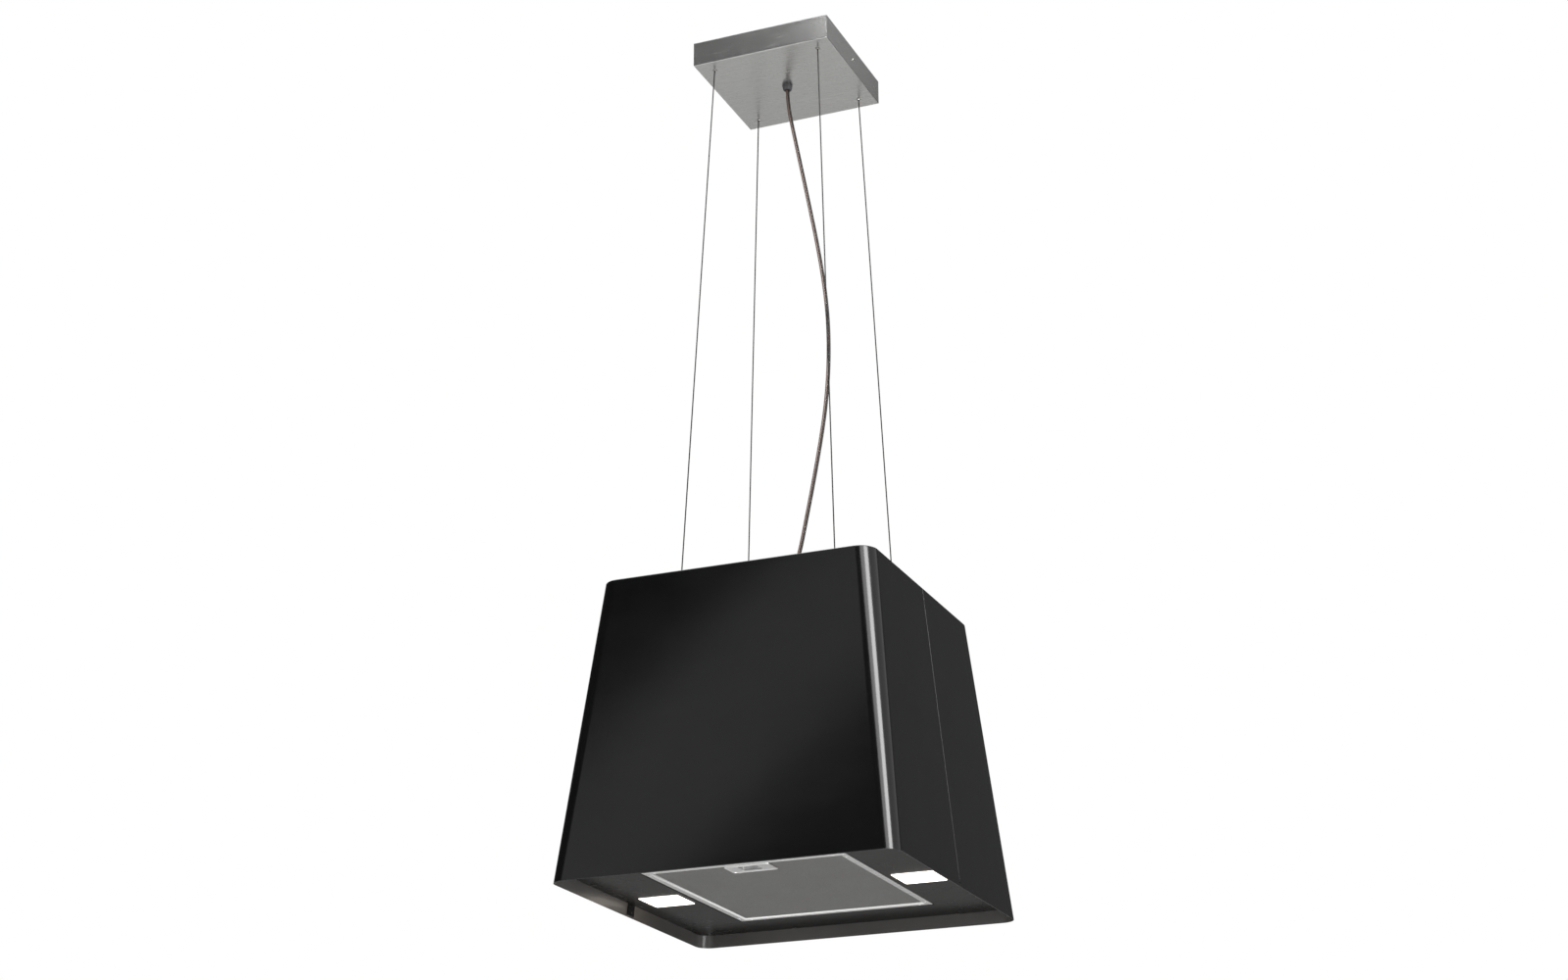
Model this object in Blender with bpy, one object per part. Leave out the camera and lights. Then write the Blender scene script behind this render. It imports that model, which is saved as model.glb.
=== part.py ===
"""An island range hood that hangs from the ceiling on four wires, as an assembly of separate pieces.

Units are metres. Z is up, and Z = 0 is the ceiling face of the mounting bracket, so the hood
hangs below it. The front of the hood faces -Y, and its right side +X.
"""

from itertools import product
from math import asin, atan2, cos, pi, radians, sin

import bmesh
import bpy
from mathutils import Matrix, Vector

# ---------------------------------------------------------------- driving dimensions

DROP = 1.333  # from the ceiling to the rim of the body
BODY_HEIGHT = 0.4353
BODY_TOP_SIDE = 0.4095
BODY_RIM_SIDE = 0.5
CORNER_AT_TOP = 0.026
CORNER_AT_RIM = 0.022
CORNER_STEPS = 8
SHEET = 0.0012
TOP_LIP = 0.008
GAP = 0.0003  # left between pieces that touch

SEAM_TIGHT = 0.00015  # half the gap between the two shells, near the seam's ends
SEAM_OPEN = 0.0005  # half the shadow groove along the rest of the seam
SEAM_TIGHT_AT_RIM = 0.025
SEAM_TIGHT_AT_TOP = 0.030
SEAM_RAMP = 0.0006
SEAM_SCREW_UP = 0.0065
STRIP_WIDTH = 0.020
STRIP_SHEET = 0.0015

COVER_SIDE = 0.2215
COVER_HEIGHT = 0.03975
COVER_SHEET = 0.0015
COVER_HOLE = 0.003  # the radius of the hole that each wire gripper comes through
BRACKET_DEPTH = 0.190
BRACKET_SHEET = 0.002
TAB_WIDTH = 0.030
TAB_DROP = 0.028
COVER_SCREW_DROP = 0.020
COVER_SCREW_BORE = 0.0019
CEILING_HOLE = 0.003  # the radius of the bracket's four fixing holes
CEILING_HOLE_X = 0.055
CEILING_HOLE_Y = 0.070
SUPPLY_HOLE = 0.014  # the radius of the hole for the supply cable
SUPPLY_HOLE_Y = 0.045
TERMINAL_Y = -0.040
TERMINAL_HALF_X = 0.024
TERMINAL_HALF_Y = 0.011
TERMINAL_DEPTH = 0.016
TERMINAL_PITCH = 0.014
WELL_HALF = 0.0035
WELL_DEPTH = 0.006

WIRE_RADIUS = 0.001
WIRE_AT_COVER = 0.086
WIRE_AT_BODY = 0.119
GRIPPER_DROP = 0.041
GRIPPER_BORE = 0.0014
GRIPPER_BORE_DEPTH = 0.014
GRIPPER_SHOULDER_DROP = 0.027
GRIPPER_NOSE_RADIUS = 0.0026
GRIPPER_RADIUS = 0.0058
GRIPPER_NECK = 0.0030
GRIPPER_HOLE = 0.0034
ANCHOR_HEIGHT = 0.014
ANCHOR_RADIUS = 0.0050
ANCHOR_BASE_RADIUS = 0.0075
ANCHOR_BASE_HEIGHT = 0.0025
ANCHOR_BORE = 0.0015
ANCHOR_BORE_FLOOR = 0.006
ANCHOR_STUD = 0.0023
ANCHOR_STUD_LENGTH = 0.008
ANCHOR_HOLE = 0.0026
NUT_BORE = 0.0029
NUT_RADIUS = 0.0045
NUT_DEPTH = 0.004

CORD_RADIUS = 0.0034
CORD_SIDE_X = 0.9223  # the cord bows sideways in the vertical plane through this direction
CORD_SIDE_Y = 0.3864
CORD_STEPS = 48
GLAND_RADIUS = 0.008
GLAND_DROP = 0.010
GLAND_THREAD = 0.0058
GLAND_THREAD_LENGTH = 0.010
GLAND_HOLE = 0.0062
BODY_GLAND_RISE = 0.015

TOP_PLATE_DROP = 0.012
TOP_PLATE_SHEET = 0.0015
SLOT_ROWS = 11
SLOT_PITCH = 0.019
SLOT_WIDTH = 0.008
SLOT_START = 0.045
SLOT_LENGTH = 0.120

PANEL_RECESS = 0.0185
PANEL_SHEET = 0.001
PANEL_FLANGE = 0.012

LAMP_X = 0.1905
LAMP_WIDTH = 0.061
LAMP_LENGTH = 0.062
LAMP_PROUD = 0.0008
LAMP_CLEARANCE = 0.0004
LAMP_HOUSING_HEIGHT = 0.016
LAMP_HOUSING_RIM = 0.003  # how far the housing reaches past the lens on each side
LAMP_HOUSING_SHEET = 0.0012
LAMP_BOARD_HALF = 0.025
LAMP_BOARD_SHEET = 0.0016
LENS_LIP = 0.0015

FILTER_WIDTH = 0.298
FILTER_LENGTH = 0.342
FILTER_DEPTH = 0.009
FILTER_FLANGE = 0.012
FILTER_SHEET = 0.001
FILTER_CLEARANCE = 0.0015
MESH_CLEARANCE = 0.0004
HINGE_TAB_INNER = 0.090
HINGE_TAB_OUTER = 0.110
HINGE_TAB_LENGTH = 0.0065
HINGE_TAB_SHEET = 0.001
TONGUE_SLOT_HALF = 0.0124
TONGUE_SLOT_TOP = 0.0040

POST_INNER = 0.170
POST_OUTER = 0.188
POST_SHEET = 0.0015

DUCT_PLATE_UP = 0.342  # the underside of the duct plate, above the rim
DUCT_PLATE_SHEET = 0.0012
CHARCOAL_SIDE = 0.250
CHARCOAL_DEPTH = 0.030

ROTOR_UP = 0.190  # the rotor's axis, above the rim
ROTOR_Y = -0.008
SCROLL_START = 0.078
SCROLL_END = 0.118
TONGUE_ANGLE = radians(80)
SCROLL_STEPS = 28
SCROLL_HALF_WIDTH = 0.077
SCROLL_WALL = 0.002
FLANGE_REACH = 0.010  # how far the outlet's flange stands out round it
INLET_RADIUS = 0.060
IMPELLER_RADIUS = 0.070
BLADE_INNER_RADIUS = 0.056
BLADES = 30
SHAFT_RADIUS = 0.004
MOTOR_RADIUS = 0.038

# The latch, in the filter's plane: X from its middle, and heights over the panel's underside.
LATCH_PLATE_HALF = 0.033
LATCH_PLATE_FRONT = -0.168
LATCH_PLATE_REAR = -0.121
LATCH_SHEET = 0.0015
LATCH_WINDOW_HALF = 0.0143
LATCH_WINDOW_FRONT = -0.1543
LATCH_WINDOW_REAR = -0.1307
LATCH_LIP_Y = -0.1587  # in front of this the plate is a thin lip over the frame's flange
LATCH_LIP_LOW = 0.0013
LATCH_LIP_HIGH = 0.0021
LATCH_WALL_Y = -0.1225  # behind this a wall stands up for the spring to push on
LATCH_WALL_HALF = 0.022
LATCH_WALL_TOP = 0.0075
CUP_HALF = 0.014
CUP_FRONT = -0.154
CUP_REAR = -0.137
CUP_WALL = 0.001
CUP_LOW = 0.0003
CUP_FLOOR = 0.0066
CUP_TOP = 0.0076
SLIDE_LOW = 0.0024
SLIDE_HIGH = 0.0036
SLIDE_HALF = 0.022
SLIDE_REAR = -0.129
TONGUE_HALF = 0.012
TONGUE_TIP = -0.1765
SPRING_UP = 0.0056
SPRING_RADIUS = 0.00135
SPRING_WIRE = 0.00022
SPRING_TURNS = 6

SHAFT_START_X = -0.018
SHAFT_END_X = 0.026
IMPELLER_HALF = 0.060
IMPELLER_RING = 0.0025
IMPELLER_DISC = 0.0015
IMPELLER_BOSS = 0.014
IMPELLER_BOSS_RADIUS = 0.012
BLADE_LEAN = radians(6)
BLADE_SHARE = 0.13  # of the pitch from one blade to the next
MOTOR_FACE_X = 0.014
MOTOR_HUB_RADIUS = 0.0148
BRACKET_HUB_RADIUS = 0.016
BRACKET_RING_RADIUS = 0.025
BRACKET_REACH = 0.074
BRACKET_ARM_HALF = 0.005
BRACKET_ARM_SHEET = 0.003

BOX_HALF_X = 0.075
BOX_FRONT_Y = 0.186
BOX_REAR_Y = 0.236
BOX_HEIGHT = 0.036
BOX_GROOVE_UP = 0.024
BOX_GROOVE_WIDTH = 0.001
BOX_GROOVE_DEPTH = 0.0006
DRIVER_HALF_X = 0.050
DRIVER_EAR_X = 0.058
DRIVER_FRONT_Y = -0.236
DRIVER_REAR_Y = -0.198
DRIVER_HEIGHT = 0.024
DRIVER_EAR_HEIGHT = 0.003
CAN_RADIUS = 0.0165
CAN_LENGTH = 0.058
CAN_START_X = -0.150
CAN_Y = 0.214

# ---------------------------------------------------------------- heights that follow from them

RIM_Z = -DROP
BODY_TOP_Z = RIM_Z + BODY_HEIGHT
COVER_Z = -COVER_HEIGHT
PANEL_Z = RIM_Z + PANEL_RECESS
PANEL_TOP_Z = PANEL_Z + PANEL_SHEET
TOP_PLATE_Z = BODY_TOP_Z - TOP_PLATE_DROP
DUCT_PLATE_Z = RIM_Z + DUCT_PLATE_UP
ROTOR_Z = RIM_Z + ROTOR_UP
FILTER_AXIS_Y = FILTER_LENGTH / 2 + FILTER_CLEARANCE
SCROLL_TOP = DUCT_PLATE_Z - GAP - ROTOR_Z  # the blower's outlet, above the rotor's axis

CORNERS = {
    "front_left": (-1, -1),
    "front_right": (1, -1),
    "rear_left": (-1, 1),
    "rear_right": (1, 1),
}
SIDES = {"left": -1, "right": 1}


def half_width(z):
    """Half the body's outside width at height z."""
    share = (z - RIM_Z) / BODY_HEIGHT
    return (BODY_RIM_SIDE + share * (BODY_TOP_SIDE - BODY_RIM_SIDE)) / 2


def corner_radius(z):
    share = (z - RIM_Z) / BODY_HEIGHT
    return CORNER_AT_RIM + share * (CORNER_AT_TOP - CORNER_AT_RIM)


WALL_LEAN = atan2((BODY_RIM_SIDE - BODY_TOP_SIDE) / 2, BODY_HEIGHT)


def wire_reach(z):
    """How far the wires are from the middle at height z, along X and along Y alike."""
    share = (COVER_Z - z) / (COVER_Z - BODY_TOP_Z)
    return WIRE_AT_COVER + share * (WIRE_AT_BODY - WIRE_AT_COVER)


GRIPPER_MIDDLE = wire_reach(COVER_Z + GRIPPER_BORE_DEPTH / 2)
ANCHOR_MIDDLE = wire_reach(TOP_PLATE_Z + 0.011)


# ---------------------------------------------------------------- tools

def clear_scene():
    for obj in list(bpy.data.objects):
        bpy.data.objects.remove(obj)


def make_material(name, colour, roughness, metallic=0.0):
    material = bpy.data.materials.new(name)
    material.use_nodes = True
    shader = material.node_tree.nodes["Principled BSDF"]
    shader.inputs["Base Color"].default_value = (*colour, 1.0)
    shader.inputs["Roughness"].default_value = roughness
    shader.inputs["Metallic"].default_value = metallic
    return material


def place_of(obj):
    """Where an object that isn't turned stands in the hood's own coordinates."""
    return obj.location + (place_of(obj.parent) if obj.parent else Vector())


def new_empty(name, location, parent=None):
    empty = bpy.data.objects.new(name, None)
    empty.location = location
    empty.empty_display_size = 0.03
    if parent:
        empty.parent = parent
        empty.location = Vector(location) - place_of(parent)
    bpy.context.scene.collection.objects.link(empty)
    return empty


def mesh_of(name, bm):
    """Turns a closed bmesh into a mesh whose faces point out."""
    bmesh.ops.recalc_face_normals(bm, faces=bm.faces)
    mesh = bpy.data.meshes.new(name)
    bm.to_mesh(mesh)
    bm.free()
    return mesh


def add_piece(name, bm, material, origin=(0, 0, 0), parent=None, smooth=False):
    """Adds an object from a bmesh in the hood's own coordinates, with its origin where it is asked."""
    bm.transform(Matrix.Translation(-Vector(origin)))
    obj = bpy.data.objects.new(name, mesh_of(name, bm))
    obj.location = origin
    if parent:
        obj.parent = parent
        obj.location = Vector(origin) - place_of(parent)
    bpy.context.scene.collection.objects.link(obj)
    obj.data.materials.append(material)
    if smooth:
        obj.data.shade_smooth()
        obj.data.set_sharp_from_angle(angle=radians(35))
    return obj


def copy_piece(name, source, location, turn=0.0):
    """Adds another object on the same mesh, turned about Z."""
    obj = bpy.data.objects.new(name, source.data)
    obj.location = location
    obj.rotation_euler = (0, 0, turn)
    bpy.context.scene.collection.objects.link(obj)
    return obj


def combine(obj, bm, operation):
    """Cuts a bmesh in the object's own coordinates away from it, or joins it on."""
    tool = bpy.data.objects.new("tool", mesh_of("tool", bm))
    tool.matrix_world = Matrix.Translation(obj.location)
    bpy.context.scene.collection.objects.link(tool)
    modifier = obj.modifiers.new("combine", "BOOLEAN")
    modifier.operation = operation
    modifier.object = tool
    graph = bpy.context.evaluated_depsgraph_get()
    obj.data = bpy.data.meshes.new_from_object(obj.evaluated_get(graph))
    obj.modifiers.clear()
    bpy.data.objects.remove(tool)


def cells(counts, filled, point, loop=False):
    """A closed bmesh of the filled cells of a grid that may be bent.

    counts are the cells along each of three directions, filled(i, j, k) says which are solid,
    and point(i, j, k) places the grid's corners. With loop, the first direction closes on itself.
    """
    bm = bmesh.new()
    made = {}

    def corner(index):
        i, j, k = index
        key = (i % counts[0] if loop else i, j, k)
        if key not in made:
            made[key] = bm.verts.new(point(*key))
        return made[key]

    def solid(index):
        i, j, k = index
        if loop:
            i %= counts[0]
        inside = 0 <= i < counts[0] and 0 <= j < counts[1] and 0 <= k < counts[2]
        return inside and filled(i, j, k)

    for cell in product(*map(range, counts)):
        if not solid(cell):
            continue
        for axis, side in product(range(3), (0, 1)):
            neighbour = list(cell)
            neighbour[axis] += 2 * side - 1
            if solid(neighbour):
                continue
            ring = []
            for across, along in ((0, 0), (1, 0), (1, 1), (0, 1)):
                index = list(cell)
                index[axis] += side
                index[(axis + 1) % 3] += across
                index[(axis + 2) % 3] += along
                ring.append(corner(index))
            bm.faces.new(ring if side else ring[::-1])
    return bm


def blocks(xs, ys, zs, filled):
    """Cells of a straight grid, where filled is asked about each cell's middle."""
    lines = (xs, ys, zs)

    def middle_filled(i, j, k):
        middle = [(line[n] + line[n + 1]) / 2 for line, n in zip(lines, (i, j, k))]
        return filled(*middle)

    def point(i, j, k):
        return (xs[i], ys[j], zs[k])

    return cells([len(line) - 1 for line in lines], middle_filled, point)


def box(x0, x1, y0, y1, z0, z1):
    return blocks((x0, x1), (y0, y1), (z0, z1), lambda x, y, z: True)


def add_bmesh(bm, other):
    """Adds the shapes of one bmesh to another, and frees it."""
    mesh = bpy.data.meshes.new("added")
    other.to_mesh(mesh)
    other.free()
    bm.from_mesh(mesh)
    bpy.data.meshes.remove(mesh)
    return bm


def turned(profile, steps=24, centre=(0, 0, 0), axis=(0, 0, 1)):
    """Turns a closed profile of (radius, height) points about an axis through centre."""
    bm = bmesh.new()
    rings = []
    for radius, height in profile:
        if radius == 0:
            rings.append([bm.verts.new((0, 0, height))] * steps)
            continue
        angles = [2 * pi * n / steps for n in range(steps)]
        rings.append([bm.verts.new((radius * cos(a), radius * sin(a), height)) for a in angles])
    for ring, following in zip(rings, rings[1:] + rings[:1]):
        for n in range(steps):
            m = (n + 1) % steps
            around = dict.fromkeys((ring[n], ring[m], following[m], following[n]))
            if len(around) > 2:
                bm.faces.new(list(around))
    turn = Vector((0, 0, 1)).rotation_difference(Vector(axis)).to_matrix().to_4x4()
    bm.transform(Matrix.Translation(centre) @ turn)
    return bm


def rod(start, end, radius, steps=12):
    """A plain round bar between two points."""
    along = Vector(end) - Vector(start)
    profile = [(0, 0), (radius, 0), (radius, along.length), (0, along.length)]
    return turned(profile, steps, start, along.normalized())


def prism(bottom, top, z0, z1):
    """A solid between two outlines with the same number of points."""
    bm = bmesh.new()
    low = [bm.verts.new((x, y, z0)) for x, y in bottom]
    high = [bm.verts.new((x, y, z1)) for x, y in top]
    bm.faces.new(low[::-1])
    bm.faces.new(high)
    for n in range(len(low)):
        m = (n + 1) % len(low)
        bm.faces.new((low[n], low[m], high[m], high[n]))
    return bm


def body_outline(z, inset):
    """The body's rounded square at height z, drawn in by inset."""
    centre = half_width(z) - corner_radius(z)
    radius = corner_radius(z) - inset
    points = []
    for quarter, (side_x, side_y) in enumerate(((1, 1), (-1, 1), (-1, -1), (1, -1))):
        for n in range(CORNER_STEPS + 1):
            angle = (quarter + n / CORNER_STEPS) * pi / 2
            points.append((side_x * centre + radius * cos(angle), side_y * centre + radius * sin(angle)))
    return points


def body_slab(z0, z1, inset):
    """A solid that fills the body between two heights, drawn in by inset."""
    return prism(body_outline(z0, inset), body_outline(z1, inset), z0, z1)


# ---------------------------------------------------------------- the ceiling fixing

def make_ceiling_bracket(material):
    tab_x = COVER_SIDE / 2 - COVER_SHEET - 2 * GAP
    inner_x = tab_x - BRACKET_SHEET
    tab_y = TAB_WIDTH / 2
    depth = BRACKET_DEPTH / 2
    bm = blocks(
        (-tab_x, -inner_x, inner_x, tab_x),
        (-depth, -tab_y, tab_y, depth),
        (-TAB_DROP, -BRACKET_SHEET, 0),
        lambda x, y, z: z > -BRACKET_SHEET or (abs(x) > inner_x and abs(y) < tab_y),
    )
    bracket = add_piece("ceiling_bracket", bm, material)
    below, above = -2 * BRACKET_SHEET, BRACKET_SHEET
    holes = bmesh.new()
    for side_x, side_y in CORNERS.values():
        grip = (side_x * GRIPPER_MIDDLE, side_y * GRIPPER_MIDDLE)
        ceiling = (side_x * CEILING_HOLE_X, side_y * CEILING_HOLE_Y)
        add_bmesh(holes, rod((*grip, below), (*grip, above), GRIPPER_HOLE, 20))
        add_bmesh(holes, rod((*ceiling, below), (*ceiling, above), CEILING_HOLE, 20))
    add_bmesh(holes, rod((0, SUPPLY_HOLE_Y, below), (0, SUPPLY_HOLE_Y, above), SUPPLY_HOLE, 28))
    for side in SIDES.values():
        start = (side * (inner_x - BRACKET_SHEET), 0, -COVER_SCREW_DROP)
        end = (side * (tab_x + BRACKET_SHEET), 0, -COVER_SCREW_DROP)
        add_bmesh(holes, rod(start, end, COVER_SCREW_BORE, 16))
    combine(bracket, holes, "DIFFERENCE")


def make_ceiling_cover(material):
    outer = COVER_SIDE / 2
    inner = outer - COVER_SHEET
    floor_z = COVER_Z + COVER_SHEET
    bm = blocks(
        (-outer, -inner, inner, outer),
        (-outer, -inner, inner, outer),
        (COVER_Z, floor_z, -GAP),
        lambda x, y, z: z < floor_z or abs(x) > inner or abs(y) > inner,
    )
    cover = add_piece("ceiling_cover", bm, material)
    below, above = COVER_Z - COVER_SHEET, floor_z + COVER_SHEET
    holes = rod((0, 0, below), (0, 0, above), GLAND_HOLE, 24)
    for side_x, side_y in CORNERS.values():
        at = (side_x * GRIPPER_MIDDLE, side_y * GRIPPER_MIDDLE)
        add_bmesh(holes, rod((*at, below), (*at, above), COVER_HOLE, 20))
    for side in SIDES.values():
        start = (side * (inner - COVER_SHEET), 0, -COVER_SCREW_DROP)
        end = (side * (outer + COVER_SHEET), 0, -COVER_SCREW_DROP)
        add_bmesh(holes, rod(start, end, COVER_SCREW_BORE, 16))
    combine(cover, holes, "DIFFERENCE")


def screw_profile(head_radius, head_height, shank_radius, shank_length):
    """A pan-head screw with a cross-shaped recess left to its finish; the head's seat is at 0."""
    return [
        (0, head_height - 0.0003),
        (0.4 * head_radius, head_height - 0.0003),
        (0.5 * head_radius, head_height),
        (0.8 * head_radius, 0.9 * head_height),
        (head_radius, 0.5 * head_height),
        (head_radius, 0),
        (shank_radius, 0),
        (shank_radius, -shank_length + shank_radius),
        (0.4 * shank_radius, -shank_length),
        (0, -shank_length),
    ]


def make_cover_screws(material):
    profile = screw_profile(0.0027, 0.0013, 0.0015, 0.0075)
    for name, side in SIDES.items():
        seat = (side * (COVER_SIDE / 2 + 0.0001), 0, -COVER_SCREW_DROP)
        bm = turned(profile, 16, seat, (side, 0, 0))
        add_piece("cover_screw_" + name, bm, material, seat, smooth=True)


def make_wire_grippers(material):
    nose_z = -GRIPPER_DROP
    shoulder_z = -GRIPPER_SHOULDER_DROP
    seat_z = -BRACKET_SHEET - GAP
    bore_end_z = nose_z + GRIPPER_BORE_DEPTH
    profile = [
        (GRIPPER_BORE, nose_z),
        (GRIPPER_NOSE_RADIUS - 0.0004, nose_z),
        (GRIPPER_NOSE_RADIUS, nose_z + 0.0006),
        (GRIPPER_NOSE_RADIUS, shoulder_z - 0.002),
        (GRIPPER_RADIUS - 0.0008, shoulder_z),
        (GRIPPER_RADIUS, shoulder_z + 0.002),
        (GRIPPER_RADIUS, seat_z),
        (GRIPPER_NECK, seat_z),
        (GRIPPER_NECK, -GAP),
        (0, -GAP),
        (0, bore_end_z),
        (GRIPPER_BORE, bore_end_z),
    ]
    first = None
    for name, (side_x, side_y) in CORNERS.items():
        place = (side_x * GRIPPER_MIDDLE, side_y * GRIPPER_MIDDLE, 0)
        if first:
            copy_piece("wire_gripper_" + name, first, place)
            continue
        bm = turned(profile, 20, place)
        first = add_piece("wire_gripper_" + name, bm, material, place, smooth=True)


def make_terminal_block(material):
    """A three-way connector with a screw well over each way."""
    ways = (-TERMINAL_PITCH, 0.0, TERMINAL_PITCH)
    ends = [-TERMINAL_HALF_X, TERMINAL_HALF_X]
    edges_x = sorted(ends + [x + s * WELL_HALF for x in ways for s in (-1, 1)])
    edges_y = [TERMINAL_Y + y for y in (-TERMINAL_HALF_Y, -WELL_HALF, WELL_HALF, TERMINAL_HALF_Y)]
    top_z = -BRACKET_SHEET - GAP
    well_z = top_z - WELL_DEPTH

    def filled(x, y, z):
        over_way = min(abs(x - way) for way in ways) < WELL_HALF
        return not (over_way and abs(y - TERMINAL_Y) < WELL_HALF and z < well_z)

    bm = blocks(edges_x, edges_y, (top_z - TERMINAL_DEPTH, well_z, top_z), filled)
    add_piece("terminal_block", bm, material, (0, TERMINAL_Y, top_z))


# ---------------------------------------------------------------- the wires and the power cord

def make_suspension_wires(material):
    top_z = -GRIPPER_DROP + GRIPPER_BORE_DEPTH - 0.001
    foot_z = TOP_PLATE_Z + 0.008
    for name, (side_x, side_y) in CORNERS.items():
        ends = [(side_x * wire_reach(z), side_y * wire_reach(z), z) for z in (top_z, foot_z)]
        add_piece("suspension_wire_" + name, rod(*ends, WIRE_RADIUS, 8), material, smooth=True)


def make_wire_anchors(anchor_material, nut_material):
    """A socket for each wire's foot, with a stud through the top plate and a nut under it."""
    socket = [
        (ANCHOR_BORE, ANCHOR_HEIGHT),
        (ANCHOR_RADIUS - 0.001, ANCHOR_HEIGHT),
        (ANCHOR_RADIUS, ANCHOR_HEIGHT - 0.002),
        (ANCHOR_RADIUS, ANCHOR_BASE_HEIGHT),
        (ANCHOR_BASE_RADIUS, ANCHOR_BASE_HEIGHT),
        (ANCHOR_BASE_RADIUS, 0),
        (ANCHOR_STUD, 0),
        (ANCHOR_STUD, -ANCHOR_STUD_LENGTH),
        (0, -ANCHOR_STUD_LENGTH),
        (0, ANCHOR_BORE_FLOOR),
        (ANCHOR_BORE, ANCHOR_BORE_FLOOR),
    ]
    nut_top = -TOP_PLATE_SHEET - 2 * GAP
    nut_foot = nut_top - NUT_DEPTH
    nut = [(NUT_BORE, nut_top), (NUT_RADIUS, nut_top), (NUT_RADIUS, nut_foot), (NUT_BORE, nut_foot)]
    first = None
    first_nut = None
    for name, (side_x, side_y) in CORNERS.items():
        place = (side_x * ANCHOR_MIDDLE, side_y * ANCHOR_MIDDLE, TOP_PLATE_Z + GAP)
        if first:
            copy_piece("wire_anchor_" + name, first, place)
            copy_piece("anchor_nut_" + name, first_nut, place)
            continue
        bm = turned(socket, 20, place)
        first = add_piece("wire_anchor_" + name, bm, anchor_material, place, smooth=True)
        bm = turned(nut, 6, place)
        first_nut = add_piece("anchor_nut_" + name, bm, nut_material, place)


def make_glands(material):
    """The two cord grips: one under the ceiling cover, one on the body's top plate."""
    lower = [
        (0, -GLAND_DROP),
        (0.6 * GLAND_RADIUS, -GLAND_DROP),
        (0.8 * GLAND_RADIUS, -0.85 * GLAND_DROP),
        (GLAND_RADIUS, -0.5 * GLAND_DROP),
        (GLAND_RADIUS, -GAP),
        (GLAND_THREAD, -GAP),
        (GLAND_THREAD, GLAND_THREAD_LENGTH),
        (0, GLAND_THREAD_LENGTH),
    ]
    place = (0, 0, COVER_Z)
    bm = turned(lower, 24, place)
    add_piece("ceiling_gland", bm, material, place, smooth=True)
    upper = [
        (0, BODY_GLAND_RISE),
        (0.6 * GLAND_RADIUS, BODY_GLAND_RISE),
        (0.8 * GLAND_RADIUS, 0.8 * BODY_GLAND_RISE),
        (GLAND_RADIUS, 0.4 * BODY_GLAND_RISE),
        (GLAND_RADIUS, GAP),
        (GLAND_THREAD, GAP),
        (GLAND_THREAD, -GLAND_THREAD_LENGTH),
        (0, -GLAND_THREAD_LENGTH),
    ]
    place = (0, 0, TOP_PLATE_Z)
    bm = turned(upper, 24, place)
    add_piece("body_gland", bm, material, place, smooth=True)


# The cord's route between the glands, as (sideways, height) in the plane that it bows in.
CORD_ROUTE = [
    (0.0000, COVER_Z - GLAND_DROP - GAP),
    (0.0004, -0.0640),
    (0.0022, -0.0830),
    (0.0054, -0.1030),
    (0.0092, -0.1240),
    (0.0180, -0.1710),
    (0.0268, -0.2180),
    (0.0354, -0.2650),
    (0.0437, -0.3120),
    (0.0510, -0.3590),
    (0.0566, -0.4050),
    (0.0598, -0.4500),
    (0.0604, -0.4950),
    (0.0588, -0.5400),
    (0.0549, -0.5850),
    (0.0490, -0.6290),
    (0.0419, -0.6730),
    (0.0342, -0.7170),
    (0.0262, -0.7600),
    (0.0182, -0.8020),
    (0.0104, -0.8360),
    (0.0041, -0.8620),
    (0.0009, -0.8810),
    (0.0000, TOP_PLATE_Z + BODY_GLAND_RISE + GAP),
]


def smooth_path(points, steps):
    """Points a step apart along a smooth curve through the given ones (a Catmull-Rom spline)."""
    ends = [2 * points[0] - points[1], *points, 2 * points[-1] - points[-2]]
    path = []
    for n in range(steps + 1):
        place = n / steps * (len(points) - 1)
        piece = min(int(place), len(points) - 2)
        t = place - piece
        before, start, end, after = ends[piece : piece + 4]
        curve = 2 * start + (end - before) * t
        curve += (2 * before - 5 * start + 4 * end - after) * t * t
        curve += (3 * start - before - 3 * end + after) * t * t * t
        path.append(curve / 2)
    return path


def make_power_cord(material):
    route = [Vector((CORD_SIDE_X * side, CORD_SIDE_Y * side, z)) for side, z in CORD_ROUTE]
    path = smooth_path(route, CORD_STEPS)
    curve = bpy.data.curves.new("power_cord", "CURVE")
    curve.dimensions = "3D"
    curve.bevel_depth = CORD_RADIUS
    curve.bevel_resolution = 2
    curve.use_fill_caps = True
    spline = curve.splines.new("POLY")
    spline.points.add(len(path) - 1)
    for point, place in zip(spline.points, path):
        point.co = (*place, 1)
    cord = bpy.data.objects.new("power_cord", curve)
    bpy.context.scene.collection.objects.link(cord)
    curve.materials.append(material)


# ---------------------------------------------------------------- the body's shells

def seam_gap(z):
    """Half the gap between the shells at height z."""
    tight_until = RIM_Z + SEAM_TIGHT_AT_RIM
    tight_from = BODY_TOP_Z - SEAM_TIGHT_AT_TOP
    tight = z <= tight_until or z >= tight_from
    return SEAM_TIGHT if tight else SEAM_OPEN


def wall_direction(side):
    """The way that a side wall faces."""
    return (side * cos(WALL_LEAN), 0, sin(WALL_LEAN))


def seam_screw_seat(side):
    z = RIM_Z + SEAM_SCREW_UP
    return Vector((side * half_width(z), 0, z))


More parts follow.
